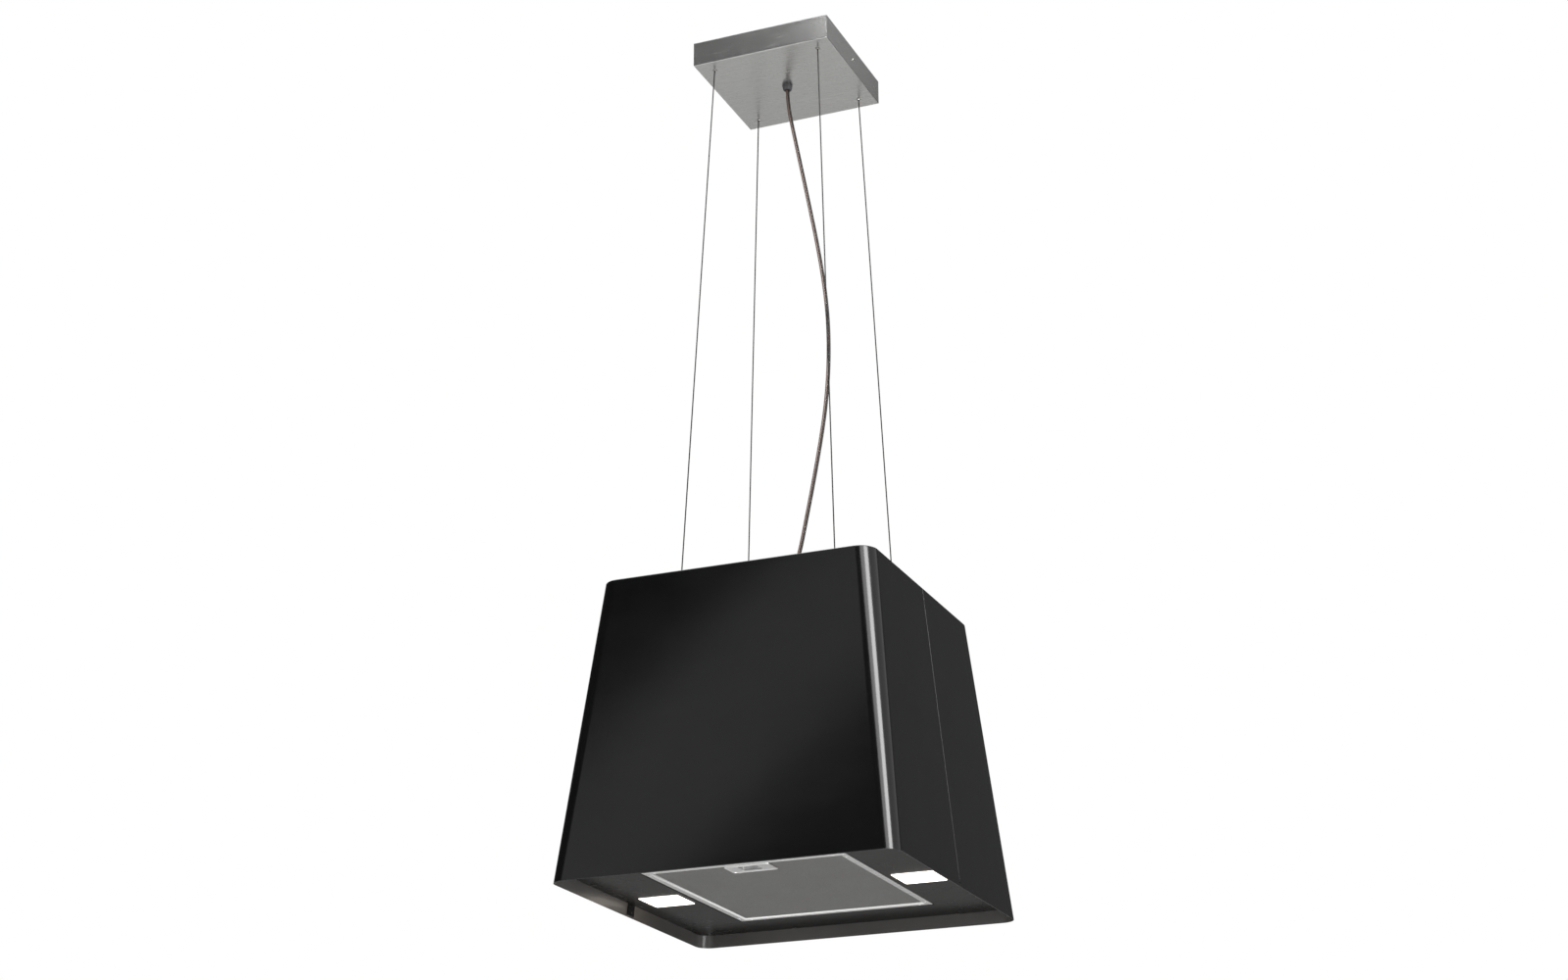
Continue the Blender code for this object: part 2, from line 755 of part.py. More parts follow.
def make_shells(material):
    """The front shell is half of a tapered rounded box; the rear one is the same, turned round."""
    levels = [
        RIM_Z,
        RIM_Z + SEAM_TIGHT_AT_RIM,
        RIM_Z + SEAM_TIGHT_AT_RIM + SEAM_RAMP,
        BODY_TOP_Z - SEAM_TIGHT_AT_TOP - SEAM_RAMP,
        BODY_TOP_Z - SEAM_TIGHT_AT_TOP,
        BODY_TOP_Z - SHEET,
        BODY_TOP_Z,
    ]
    insets = [0, SHEET, TOP_LIP]
    last = 2 * CORNER_STEPS + 3

    def point(i, j, k):
        z = levels[k]
        half = half_width(z)
        if i in (0, last):
            side = 1 if i == 0 else -1
            return (side * (half - insets[j]), -seam_gap(z), z)
        corner, step = divmod(i - 1, CORNER_STEPS + 1)
        centre = half - corner_radius(z)
        radius = corner_radius(z) - insets[j]
        angle = -(corner + step / CORNER_STEPS) * pi / 2
        side = 1 if corner == 0 else -1
        return (side * centre + radius * cos(angle), -centre + radius * sin(angle), z)

    def filled(i, j, k):
        return j == 0 or k == len(levels) - 2

    bm = cells((last, 2, len(levels) - 1), filled, point)
    front = add_piece("front_shell", bm, material, smooth=True)
    holes = bmesh.new()
    for side in SIDES.values():
        out = Vector(wall_direction(side))
        seat = seam_screw_seat(side)
        add_bmesh(holes, rod(seat - 0.004 * out, seat + 0.003 * out, 0.0016, 16))
    combine(front, holes, "DIFFERENCE")
    front.data.set_sharp_from_angle(angle=radians(35))
    copy_piece("rear_shell", front, (0, 0, 0), pi)


def make_seam_strips(material):
    """The backing strips that join the shells behind each seam."""
    low_z = RIM_Z + 0.002
    high_z = TOP_PLATE_Z - TOP_PLATE_SHEET - 0.001
    half = STRIP_WIDTH / 2
    for name, side in SIDES.items():
        outlines = []
        for z in (low_z, high_z):
            outer = half_width(z) - SHEET - GAP
            inner = outer - STRIP_SHEET
            ring = [(inner, -half), (outer, -half), (outer, half), (inner, half)]
            outlines.append([(side * x, y) for x, y in ring])
        strip = add_piece("seam_strip_" + name, prism(*outlines, low_z, high_z), material)
        out = Vector(wall_direction(side))
        seat = seam_screw_seat(side)
        combine(strip, rod(seat - 0.006 * out, seat + 0.001 * out, 0.0015, 16), "DIFFERENCE")


def make_seam_screws(material):
    profile = screw_profile(0.0024, 0.0008, 0.0012, 0.0055)
    for name, side in SIDES.items():
        out = Vector(wall_direction(side))
        seat = seam_screw_seat(side) + 0.0001 * out
        bm = turned(profile, 16, seat, out)
        add_piece("seam_screw_" + name, bm, material, seat, smooth=True)


# ---------------------------------------------------------------- the body's structure

def make_top_plate(material):
    top_z = TOP_PLATE_Z
    bm = body_slab(top_z - TOP_PLATE_SHEET, top_z, SHEET + GAP)
    plate = add_piece("top_plate", bm, material, (0, 0, top_z))
    low, high = -0.005, 0.005
    tool = rod((0, 0, low), (0, 0, high), GLAND_HOLE, 24)
    for side_x, side_y in CORNERS.values():
        at = (side_x * ANCHOR_MIDDLE, side_y * ANCHOR_MIDDLE)
        add_bmesh(tool, rod((*at, low), (*at, high), ANCHOR_HOLE, 16))
    for row in range(SLOT_ROWS):
        y = (row - (SLOT_ROWS - 1) / 2) * SLOT_PITCH
        for side in SIDES.values():
            ends = sorted((side * SLOT_START, side * (SLOT_START + SLOT_LENGTH)))
            add_bmesh(tool, box(*ends, y - SLOT_WIDTH / 2, y + SLOT_WIDTH / 2, low, high))
    combine(plate, tool, "DIFFERENCE")


def make_frame_posts(material):
    low_z = PANEL_TOP_Z + GAP
    high_z = TOP_PLATE_Z - TOP_PLATE_SHEET - GAP
    leg = POST_OUTER - POST_SHEET
    for name, (side_x, side_y) in CORNERS.items():
        xs = sorted(side_x * x for x in (POST_INNER, leg, POST_OUTER))
        ys = sorted(side_y * y for y in (POST_INNER, leg, POST_OUTER))
        bm = blocks(xs, ys, (low_z, high_z), lambda x, y, z: abs(x) > leg or abs(y) > leg)
        add_piece("frame_post_" + name, bm, material, (side_x * leg, side_y * leg, low_z))


def make_duct_plate(material):
    """The bulkhead over the blower: its outlet opens through it, under the charcoal filter."""
    half = half_width(DUCT_PLATE_Z + DUCT_PLATE_SHEET) - SHEET - 2 * GAP
    notch_x = half - STRIP_SHEET - 2 * GAP
    notch_y = STRIP_WIDTH / 2 + 0.001
    post = POST_INNER - GAP
    mouth_x = SCROLL_HALF_WIDTH - SCROLL_WALL
    mouth_low = ROTOR_Y + tongue_reach(SCROLL_TOP) + SCROLL_WALL
    mouth_high = ROTOR_Y + SCROLL_END - SCROLL_WALL

    def filled(x, y, z):
        corner = abs(x) > post and abs(y) > post
        notch = abs(x) > notch_x and abs(y) < notch_y
        mouth = abs(x) < mouth_x and mouth_low < y < mouth_high
        return not (corner or notch or mouth)

    xs = (-half, -notch_x, -post, -mouth_x, mouth_x, post, notch_x, half)
    ys = sorted((-half, -post, -notch_y, notch_y, mouth_low, mouth_high, post, half))
    bm = blocks(xs, ys, (DUCT_PLATE_Z, DUCT_PLATE_Z + DUCT_PLATE_SHEET), filled)
    add_piece("duct_plate", bm, material, (0, 0, DUCT_PLATE_Z))


def make_charcoal_filter(material):
    """A flat cassette: a frame round a slab of charcoal that lies a little deeper."""
    half = CHARCOAL_SIDE / 2
    slab = half - 0.010
    low_z = DUCT_PLATE_Z + DUCT_PLATE_SHEET + GAP
    zs = [low_z + z for z in (0, 0.003, CHARCOAL_DEPTH - 0.003, CHARCOAL_DEPTH)]
    bm = blocks(
        (-half, -slab, slab, half),
        (-half, -slab, slab, half),
        zs,
        lambda x, y, z: abs(x) > slab or abs(y) > slab or zs[1] < z < zs[2],
    )
    add_piece("charcoal_filter", bm, material, (0, 0, low_z))


def make_bottom_panel(material):
    flange_z = PANEL_Z + PANEL_FLANGE
    above_flange = flange_z + 0.004
    inset = SHEET + GAP
    panel = add_piece("bottom_panel", body_slab(PANEL_Z, flange_z, inset), material)
    inner = inset + PANEL_SHEET
    hollow = prism(body_outline(PANEL_TOP_Z, inner), body_outline(flange_z, inner), PANEL_TOP_Z, above_flange)
    combine(panel, hollow, "DIFFERENCE")
    low, high = PANEL_Z - 0.002, PANEL_TOP_Z + 0.001
    x = FILTER_WIDTH / 2 + FILTER_CLEARANCE
    y = FILTER_AXIS_Y
    tool = box(-x, x, -y, y, low, high)
    x = LAMP_WIDTH / 2 + LAMP_CLEARANCE
    y = LAMP_LENGTH / 2 + LAMP_CLEARANCE
    notch_x = half_width(flange_z) - SHEET - STRIP_SHEET - 3 * GAP - 0.0002
    notch_y = STRIP_WIDTH / 2 + 0.0006
    for side in SIDES.values():
        middle = side * LAMP_X
        add_bmesh(tool, box(middle - x, middle + x, -y, y, low, high))
        ends = sorted((side * notch_x, side * (notch_x + 0.006)))
        add_bmesh(tool, box(*ends, -notch_y, notch_y, low, above_flange))
    combine(panel, tool, "DIFFERENCE")


# ---------------------------------------------------------------- the lamps

def make_lamps(housing_material, board_material, lens_material):
    low_z = PANEL_TOP_Z + GAP
    top_z = low_z + LAMP_HOUSING_HEIGHT
    roof_z = top_z - LAMP_HOUSING_SHEET
    board_z = roof_z - GAP - LAMP_BOARD_SHEET
    lens_x = LAMP_WIDTH / 2
    lens_y = LAMP_LENGTH / 2
    out_x = lens_x + LAMP_HOUSING_RIM
    out_y = lens_y + LAMP_HOUSING_RIM
    in_x = out_x - LAMP_HOUSING_SHEET
    in_y = out_y - LAMP_HOUSING_SHEET
    lip_x = in_x - GAP
    lip_y = in_y - GAP

    def housing_filled(x, y, z):
        return z > roof_z or abs(x) > in_x or abs(y) > in_y

    def lens_filled(x, y, z):
        return z > low_z or (abs(x) < lens_x and abs(y) < lens_y)

    for name, side in SIDES.items():
        middle = side * LAMP_X
        moved = Matrix.Translation((middle, 0, 0))
        xs = (-out_x, -in_x, in_x, out_x)
        ys = (-out_y, -in_y, in_y, out_y)
        bm = blocks(xs, ys, (low_z, roof_z, top_z), housing_filled)
        bm.transform(moved)
        add_piece("lamp_housing_" + name, bm, housing_material, (middle, 0, low_z))
        half = LAMP_BOARD_HALF
        bm = box(middle - half, middle + half, -half, half, board_z, board_z + LAMP_BOARD_SHEET)
        add_piece("lamp_board_" + name, bm, board_material, (middle, 0, board_z))
        xs = (-lip_x, -lens_x, lens_x, lip_x)
        ys = (-lip_y, -lens_y, lens_y, lip_y)
        bm = blocks(xs, ys, (PANEL_Z - LAMP_PROUD, low_z, low_z + LENS_LIP), lens_filled)
        bm.transform(moved)
        add_piece("lamp_lens_" + name, bm, lens_material, (middle, 0, PANEL_Z))


# ---------------------------------------------------------------- the blower

def tongue_reach(height):
    """How far forward of the rotor's axis the throat's inner wall is, at a height over the axis."""
    return height * cos(TONGUE_ANGLE) / sin(TONGUE_ANGLE)


def scroll_outline(wall, rise):
    """The blower's spiral and its throat, in Y and Z about the rotor's axis, drawn in by wall."""
    points = []
    for n in range(SCROLL_STEPS + 1):
        share = n / SCROLL_STEPS
        angle = TONGUE_ANGLE + share * (2 * pi - TONGUE_ANGLE)
        radius = SCROLL_START + share * (SCROLL_END - SCROLL_START) - wall
        points.append((radius * cos(angle), radius * sin(angle)))
    top = SCROLL_TOP + rise
    points.append((SCROLL_END - wall, top))
    points.append((tongue_reach(top) + wall, top))
    return points


def across_x(outline, x0, x1):
    """A solid with its outline in Y and Z about the rotor's axis, from one X to another."""
    turn = Matrix(((0, 0, 1, 0), (1, 0, 0, ROTOR_Y), (0, 1, 0, ROTOR_Z), (0, 0, 0, 1)))
    bm = prism(outline, outline, x0, x1)
    bm.transform(turn)
    return bm


def make_blower_housing(material):
    flange_front = tongue_reach(SCROLL_TOP) - FLANGE_REACH
    flange_rear = SCROLL_END + FLANGE_REACH
    flange_z = SCROLL_TOP - SCROLL_WALL
    flange = [
        (flange_front, flange_z),
        (flange_rear, flange_z),
        (flange_rear, SCROLL_TOP),
        (flange_front, SCROLL_TOP),
    ]
    for name, side in SIDES.items():
        inside = side * GAP / 2
        outside = side * SCROLL_HALF_WIDTH
        shape = across_x(scroll_outline(0, 0), *sorted((inside, outside)))
        housing = add_piece("blower_housing_" + name, shape, material)
        rim = across_x(flange, *sorted((inside, outside + side * FLANGE_REACH)))
        combine(housing, rim, "UNION")
        ends = sorted((-side * 0.004, outside - side * SCROLL_WALL))
        hollow = across_x(scroll_outline(SCROLL_WALL, 0.004), *ends)
        combine(housing, hollow, "DIFFERENCE")
        start = (outside - side * 0.010, ROTOR_Y, ROTOR_Z)
        end = (outside + side * 0.010, ROTOR_Y, ROTOR_Z)
        combine(housing, rod(start, end, INLET_RADIUS, 40), "DIFFERENCE")


def make_impeller(material, axis):
    """A drum of blades on both sides of a disc, held by a ring at each end."""
    half = IMPELLER_HALF
    ring = half - IMPELLER_RING
    radii = (SHAFT_RADIUS + 0.00025, IMPELLER_BOSS_RADIUS, BLADE_INNER_RADIUS, IMPELLER_RADIUS)
    xs = (-half, -ring, -IMPELLER_BOSS, -IMPELLER_DISC, IMPELLER_DISC, ring, half)
    pitch = 2 * pi / BLADES

    def filled(i, j, k):
        if j == 0:
            return k in (2, 3)
        if j == 1:
            return k == 3
        blade = i % 2 == 0
        return blade or k in (0, 3, 5)

    def point(i, j, k):
        angle = (i // 2 + (BLADE_SHARE if i % 2 else 0)) * pitch
        if j == 3:
            angle += BLADE_LEAN
        radius = radii[j]
        return (xs[k], ROTOR_Y + radius * cos(angle), ROTOR_Z + radius * sin(angle))

    bm = cells((2 * BLADES, 3, 6), filled, point, loop=True)
    add_piece("impeller", bm, material, (0, ROTOR_Y, ROTOR_Z), axis)


def make_motor(motor_material, shaft_material, bracket_material, axis):
    centre = (0, ROTOR_Y, ROTOR_Z)
    along = (1, 0, 0)
    face = MOTOR_FACE_X
    back = SCROLL_HALF_WIDTH
    bore = SHAFT_RADIUS + GAP
    profile = [
        (bore, face + 0.014),
        (bore, face),
        (0.012, face),
        (0.014, face + 0.004),
        (MOTOR_RADIUS - 0.004, face + 0.004),
        (MOTOR_RADIUS, face + 0.008),
        (MOTOR_RADIUS, back - 0.004),
        (MOTOR_RADIUS - 0.004, back),
        (MOTOR_HUB_RADIUS, back),
        (MOTOR_HUB_RADIUS, back + 0.007),
        (0, back + 0.007),
        (0, face + 0.014),
    ]
    add_piece("motor", turned(profile, 32, centre, along), motor_material, centre, smooth=True)
    start = (SHAFT_START_X, ROTOR_Y, ROTOR_Z)
    end = (SHAFT_END_X, ROTOR_Y, ROTOR_Z)
    shaft = rod(start, end, SHAFT_RADIUS, 24)
    add_piece("motor_shaft", shaft, shaft_material, centre, axis, smooth=True)

    radii = (BRACKET_HUB_RADIUS, BRACKET_RING_RADIUS, BRACKET_REACH)
    per_arm = 6
    third = 2 * pi / 3

    def filled(i, j, k):
        return j == 0 or i % per_arm == 0

    def point(i, j, k):
        arm, step = divmod(i, per_arm)
        spread = asin(BRACKET_ARM_HALF / radii[j])
        angle = -spread
        if step:
            angle = spread + (third - 2 * spread) * (step - 1) / (per_arm - 1)
        angle += arm * third + pi / 2
        x = back + GAP + (0, BRACKET_ARM_SHEET)[k]
        return (x, ROTOR_Y + radii[j] * cos(angle), ROTOR_Z + radii[j] * sin(angle))

    bm = cells((3 * per_arm, 2, 1), filled, point, loop=True)
    add_piece("motor_bracket", bm, bracket_material, centre)


def make_electrics(box_material, driver_material, can_material):
    floor_z = PANEL_TOP_Z + GAP
    middle_y = (BOX_FRONT_Y + BOX_REAR_Y) / 2
    groove_x = BOX_HALF_X - BOX_GROOVE_DEPTH
    groove_y = BOX_REAR_Y - BOX_GROOVE_DEPTH - middle_y
    groove_low = floor_z + BOX_GROOVE_UP
    groove_high = groove_low + BOX_GROOVE_WIDTH

    def box_filled(x, y, z):
        groove = groove_low < z < groove_high
        return not (groove and (abs(x) > groove_x or abs(y - middle_y) > groove_y))

    xs = (-BOX_HALF_X, -groove_x, groove_x, BOX_HALF_X)
    ys = (BOX_FRONT_Y, middle_y - groove_y, middle_y + groove_y, BOX_REAR_Y)
    zs = (floor_z, groove_low, groove_high, floor_z + BOX_HEIGHT)
    bm = blocks(xs, ys, zs, box_filled)
    add_piece("control_box", bm, box_material, (0, middle_y, floor_z))

    ear_z = floor_z + DRIVER_EAR_HEIGHT

    def driver_filled(x, y, z):
        return abs(x) < DRIVER_HALF_X or z < ear_z

    xs = (-DRIVER_EAR_X, -DRIVER_HALF_X, DRIVER_HALF_X, DRIVER_EAR_X)
    zs = (floor_z, ear_z, floor_z + DRIVER_HEIGHT)
    bm = blocks(xs, (DRIVER_FRONT_Y, DRIVER_REAR_Y), zs, driver_filled)
    add_piece("led_driver", bm, driver_material, (0, (DRIVER_FRONT_Y + DRIVER_REAR_Y) / 2, floor_z))

    start = (CAN_START_X, CAN_Y, floor_z + CAN_RADIUS)
    profile = [
        (0, 0),
        (CAN_RADIUS - 0.002, 0),
        (CAN_RADIUS, 0.002),
        (CAN_RADIUS, CAN_LENGTH - 0.003),
        (CAN_RADIUS - 0.003, CAN_LENGTH),
        (0, CAN_LENGTH),
    ]
    bm = turned(profile, 24, start, (1, 0, 0))
    add_piece("motor_capacitor", bm, can_material, start, smooth=True)


# ---------------------------------------------------------------- the grease filter and its latch

def make_filter_frame(material, axis):
    """An aluminium channel round the mesh, with two hinge tabs at the rear that rest on the panel."""
    half_x = FILTER_WIDTH / 2
    half_y = FILTER_LENGTH / 2
    wall_x = half_x - FILTER_SHEET
    wall_y = half_y - FILTER_SHEET
    open_x = half_x - FILTER_FLANGE
    open_y = half_y - FILTER_FLANGE
    tab_low = PANEL_SHEET + GAP
    tab_high = tab_low + HINGE_TAB_SHEET

    def filled(x, y, z):
        up = z - PANEL_Z
        if y > half_y:
            return HINGE_TAB_INNER < abs(x) < HINGE_TAB_OUTER and tab_low < up < tab_high
        if y < -wall_y and abs(x) < TONGUE_SLOT_HALF and tab_high < up < TONGUE_SLOT_TOP:
            return False
        if abs(x) > wall_x or abs(y) > wall_y:
            return True
        border = abs(x) > open_x or abs(y) > open_y
        return border and not FILTER_SHEET < up < FILTER_DEPTH - FILTER_SHEET

    stops = (TONGUE_SLOT_HALF, HINGE_TAB_INNER, HINGE_TAB_OUTER, open_x, wall_x, half_x)
    xs = sorted([-x for x in stops] + list(stops))
    ys = (-half_y, -wall_y, -open_y, open_y, wall_y, half_y, half_y + HINGE_TAB_LENGTH)
    roof = FILTER_DEPTH - FILTER_SHEET
    ups = (0, FILTER_SHEET, tab_low, tab_high, TONGUE_SLOT_TOP, roof, FILTER_DEPTH)
    bm = blocks(xs, ys, [PANEL_Z + up for up in ups], filled)
    add_piece("filter_frame", bm, material, axis.location, axis)


def make_filter_mesh(material, axis):
    """The slab of mesh layers, with a bay at the front for the latch."""
    half_x = FILTER_WIDTH / 2 - FILTER_SHEET - MESH_CLEARANCE
    half_y = FILTER_LENGTH / 2 - FILTER_SHEET - MESH_CLEARANCE
    bay_x = LATCH_PLATE_HALF + 0.0015
    bay_y = LATCH_PLATE_REAR + 0.0003
    bm = blocks(
        (-half_x, -bay_x, bay_x, half_x),
        (-half_y, bay_y, half_y),
        (PANEL_Z + FILTER_SHEET + MESH_CLEARANCE, PANEL_Z + FILTER_DEPTH - FILTER_SHEET - MESH_CLEARANCE),
        lambda x, y, z: abs(x) > bay_x or y > bay_y,
    )
    add_piece("filter_mesh", bm, material, axis.location, axis)


def make_latch(plate_material, slider_material, spring_material, axis, guide):
    """A finger cup that slides back in a plate at the filter's front, and draws the tongue in."""

    def plate_filled(x, y, z):
        up = z - PANEL_Z
        if y > LATCH_WALL_Y:
            return up < LATCH_SHEET or abs(x) < LATCH_WALL_HALF
        if y < LATCH_LIP_Y:
            return LATCH_LIP_LOW < up < LATCH_LIP_HIGH
        if y < LATCH_WINDOW_FRONT:
            return up < LATCH_LIP_HIGH
        return up < LATCH_SHEET and not (abs(x) < LATCH_WINDOW_HALF and y < LATCH_WINDOW_REAR)

    stops = (LATCH_WINDOW_HALF, LATCH_WALL_HALF, LATCH_PLATE_HALF)
    xs = sorted([-x for x in stops] + list(stops))
    ys = (
        LATCH_PLATE_FRONT,
        LATCH_LIP_Y,
        LATCH_WINDOW_FRONT,
        LATCH_WINDOW_REAR,
        LATCH_WALL_Y,
        LATCH_PLATE_REAR,
    )
    ups = (0, LATCH_LIP_LOW, LATCH_SHEET, LATCH_LIP_HIGH, LATCH_WALL_TOP)
    plate = blocks(xs, ys, [PANEL_Z + up for up in ups], plate_filled)
    add_piece("latch_plate", plate, plate_material, axis.location, axis)

    def slider_filled(x, y, z):
        up = z - PANEL_Z
        if abs(x) < CUP_HALF and CUP_FRONT < y < CUP_REAR:
            beside = abs(x) > CUP_HALF - CUP_WALL
            end = y < CUP_FRONT + CUP_WALL or y > CUP_REAR - CUP_WALL
            return beside or end or up > CUP_FLOOR
        flat = SLIDE_LOW < up < SLIDE_HIGH
        return flat and (y > LATCH_PLATE_FRONT or abs(x) < TONGUE_HALF)

    stops = (TONGUE_HALF, CUP_HALF - CUP_WALL, CUP_HALF, SLIDE_HALF)
    xs = sorted([-x for x in stops] + list(stops))
    ys = (
        TONGUE_TIP,
        LATCH_PLATE_FRONT,
        CUP_FRONT,
        CUP_FRONT + CUP_WALL,
        CUP_REAR - CUP_WALL,
        CUP_REAR,
        SLIDE_REAR,
    )
    ups = (CUP_LOW, SLIDE_LOW, SLIDE_HIGH, CUP_FLOOR, CUP_TOP)
    slider = blocks(xs, ys, [PANEL_Z + up for up in ups], slider_filled)
    add_piece("latch_slider", slider, slider_material, place_of(guide), guide)

    spring_z = PANEL_Z + SPRING_UP
    spring = coil(CUP_REAR + GAP, LATCH_WALL_Y - GAP, spring_z, SPRING_RADIUS, SPRING_WIRE, SPRING_TURNS)
    add_piece("latch_spring", spring, spring_material, axis.location, axis, smooth=True)


def coil(start, end, z, radius, wire, turns):
    """A compression spring along Y, as a round wire wound with a steady pitch."""
    steps_round, sides = 12, 6
    steps = steps_round * turns
    length = end - start - 2 * wire

    def point(i, j):
        angle = 2 * pi * i / steps_round
        along = start + wire + length * i / steps
        turn = 2 * pi * j / sides
        reach = radius + wire * cos(turn)
        return Vector((reach * cos(angle), along + wire * sin(turn), z + reach * sin(angle)))

    bm = bmesh.new()
    rings = [[bm.verts.new(point(i, j)) for j in range(sides)] for i in range(steps + 1)]
    bm.faces.new(rings[0])
    bm.faces.new(rings[-1][::-1])
    for ring, following in zip(rings, rings[1:]):
        for n in range(sides):
            m = (n + 1) % sides
            bm.faces.new((ring[n], ring[m], following[m], following[n]))
    return bm


# ---------------------------------------------------------------- the assembly

def main():
    clear_scene()
    black = make_material("black_paint", (0.012, 0.012, 0.013), 0.28)
    panel_black = make_material("panel_paint", (0.020, 0.019, 0.018), 0.42)
    steel = make_material("brushed_steel", (0.62, 0.62, 0.61), 0.30, 1.0)
    zinc = make_material("zinc_plated_steel", (0.58, 0.59, 0.60), 0.38, 1.0)
    nickel = make_material("nickel", (0.52, 0.52, 0.50), 0.25, 1.0)
    wire = make_material("wire_rope", (0.42, 0.42, 0.42), 0.32, 1.0)
    screw_black = make_material("black_screw", (0.03, 0.03, 0.03), 0.35, 1.0)
    jacket = make_material("cord_jacket", (0.30, 0.22, 0.17), 0.25)
    grey_plastic = make_material("grey_plastic", (0.09, 0.09, 0.095), 0.5)
    white_plastic = make_material("white_plastic", (0.72, 0.72, 0.70), 0.45)
    aluminium = make_material("aluminium", (0.80, 0.80, 0.80), 0.30, 1.0)
    mesh = make_material("aluminium_mesh", (0.50, 0.50, 0.50), 0.45, 1.0)
    carbon = make_material("charcoal", (0.03, 0.03, 0.03), 0.9)
    housing = make_material("blower_plastic", (0.05, 0.05, 0.055), 0.55)
    impeller = make_material("impeller_plastic", (0.10, 0.10, 0.11), 0.5)
    motor = make_material("motor_steel", (0.35, 0.35, 0.36), 0.45, 1.0)
    board = make_material("circuit_board", (0.80, 0.80, 0.76), 0.5)
    lens = make_material("lamp_diffuser", (0.95, 0.95, 0.92), 0.4)

    rotor_axis = new_empty("rotor_axis", (0, ROTOR_Y, ROTOR_Z))
    filter_axis = new_empty("filter_axis", (0, FILTER_AXIS_Y, PANEL_TOP_Z))
    latch_guide = new_empty("latch_guide", (0, -FILTER_LENGTH / 2, PANEL_TOP_Z), filter_axis)

    make_ceiling_bracket(zinc)
    make_ceiling_cover(steel)
    make_cover_screws(nickel)
    make_wire_grippers(nickel)
    make_terminal_block(white_plastic)
    make_glands(grey_plastic)
    make_suspension_wires(wire)
    make_power_cord(jacket)
    make_wire_anchors(nickel, zinc)
    make_shells(black)
    make_seam_strips(black)
    make_seam_screws(screw_black)
    make_top_plate(panel_black)
    make_frame_posts(zinc)
    make_duct_plate(zinc)
    make_charcoal_filter(carbon)
    make_bottom_panel(panel_black)
    make_lamps(zinc, board, lens)
    make_blower_housing(housing)
    make_impeller(impeller, rotor_axis)
    make_motor(motor, zinc, zinc, rotor_axis)
    make_electrics(grey_plastic, white_plastic, aluminium)
    make_filter_frame(aluminium, filter_axis)
    make_filter_mesh(mesh, filter_axis)
    make_latch(aluminium, aluminium, nickel, filter_axis, latch_guide)


main()
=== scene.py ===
"""The looks of an island range hood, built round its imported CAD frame.

Metres throughout, in the frame's own coordinates: Z = 0 is the ceiling, and the front faces -Y.
"""

from math import atan2, cos, pi, radians, sin

import bmesh
import bpy
from mathutils import Matrix, Vector


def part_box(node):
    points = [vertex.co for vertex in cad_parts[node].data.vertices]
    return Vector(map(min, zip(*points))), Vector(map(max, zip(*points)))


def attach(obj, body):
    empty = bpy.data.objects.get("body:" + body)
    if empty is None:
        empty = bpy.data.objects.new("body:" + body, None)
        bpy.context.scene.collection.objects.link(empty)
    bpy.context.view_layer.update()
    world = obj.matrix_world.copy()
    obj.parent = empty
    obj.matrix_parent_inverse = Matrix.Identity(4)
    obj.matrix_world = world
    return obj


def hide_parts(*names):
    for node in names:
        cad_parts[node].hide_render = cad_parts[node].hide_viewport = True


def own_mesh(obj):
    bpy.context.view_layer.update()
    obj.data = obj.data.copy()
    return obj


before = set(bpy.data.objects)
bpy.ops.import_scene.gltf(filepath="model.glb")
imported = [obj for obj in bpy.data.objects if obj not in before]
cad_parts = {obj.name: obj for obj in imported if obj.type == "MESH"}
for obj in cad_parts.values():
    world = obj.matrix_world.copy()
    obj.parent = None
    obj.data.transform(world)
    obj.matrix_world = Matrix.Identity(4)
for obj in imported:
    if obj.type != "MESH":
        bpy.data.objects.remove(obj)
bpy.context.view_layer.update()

GAP = 0.0003  # between pieces that touch
SHEET = 0.0012
CORNER_AT_TOP = 0.026
CORNER_AT_RIM = 0.022
CORNERS = {
    "front_left": (-1, -1),
    "front_right": (1, -1),
    "rear_left": (-1, 1),
    "rear_right": (1, 1),
}
SIDES = {"left": -1, "right": 1}

# ---------------------------------------------------------------- places, read from the frame

RIM_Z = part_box("front_shell")[0].z
BODY_TOP_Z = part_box("front_shell")[1].z
RIM_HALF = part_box("front_shell")[1].x
PLATE_LOW, PLATE_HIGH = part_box("top_plate")
PLATE_HALF = PLATE_HIGH.x + SHEET + GAP
LEAN = (RIM_HALF - PLATE_HALF) / (PLATE_LOW.z - RIM_Z)
PANEL_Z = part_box("bottom_panel")[0].z
COVER_LOW, COVER_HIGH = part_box("ceiling_cover")
CORD_FROM_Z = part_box("ceiling_gland")[0].z - GAP
CORD_TO_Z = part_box("body_gland")[1].z + GAP
WALL_LEAN = atan2(LEAN, 1)


def half_width(z):
    """Half the body's outside width at height z."""
    return RIM_HALF - LEAN * (z - RIM_Z)


def corner_radius(z):
    share = (z - RIM_Z) / (BODY_TOP_Z - RIM_Z)
    return CORNER_AT_RIM + share * (CORNER_AT_TOP - CORNER_AT_RIM)


# ---------------------------------------------------------------- tools for shapes

def link(obj):
    bpy.context.scene.collection.objects.link(obj)
    return obj


def add_piece(name, bm, body, material, replaces=(), sharp=35.0):
    """A new piece from a bmesh, shaded smooth but for edges sharper than the given angle."""
    bmesh.ops.recalc_face_normals(bm, faces=bm.faces)
    mesh = bpy.data.meshes.new(name)
    bm.to_mesh(mesh)
    bm.free()
    mesh.shade_smooth()
    mesh.set_sharp_from_angle(angle=radians(sharp))
    mesh.materials.append(material)
    obj = link(bpy.data.objects.new(name, mesh))
    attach(obj, body)
    if replaces:
        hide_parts(*replaces)
    return obj


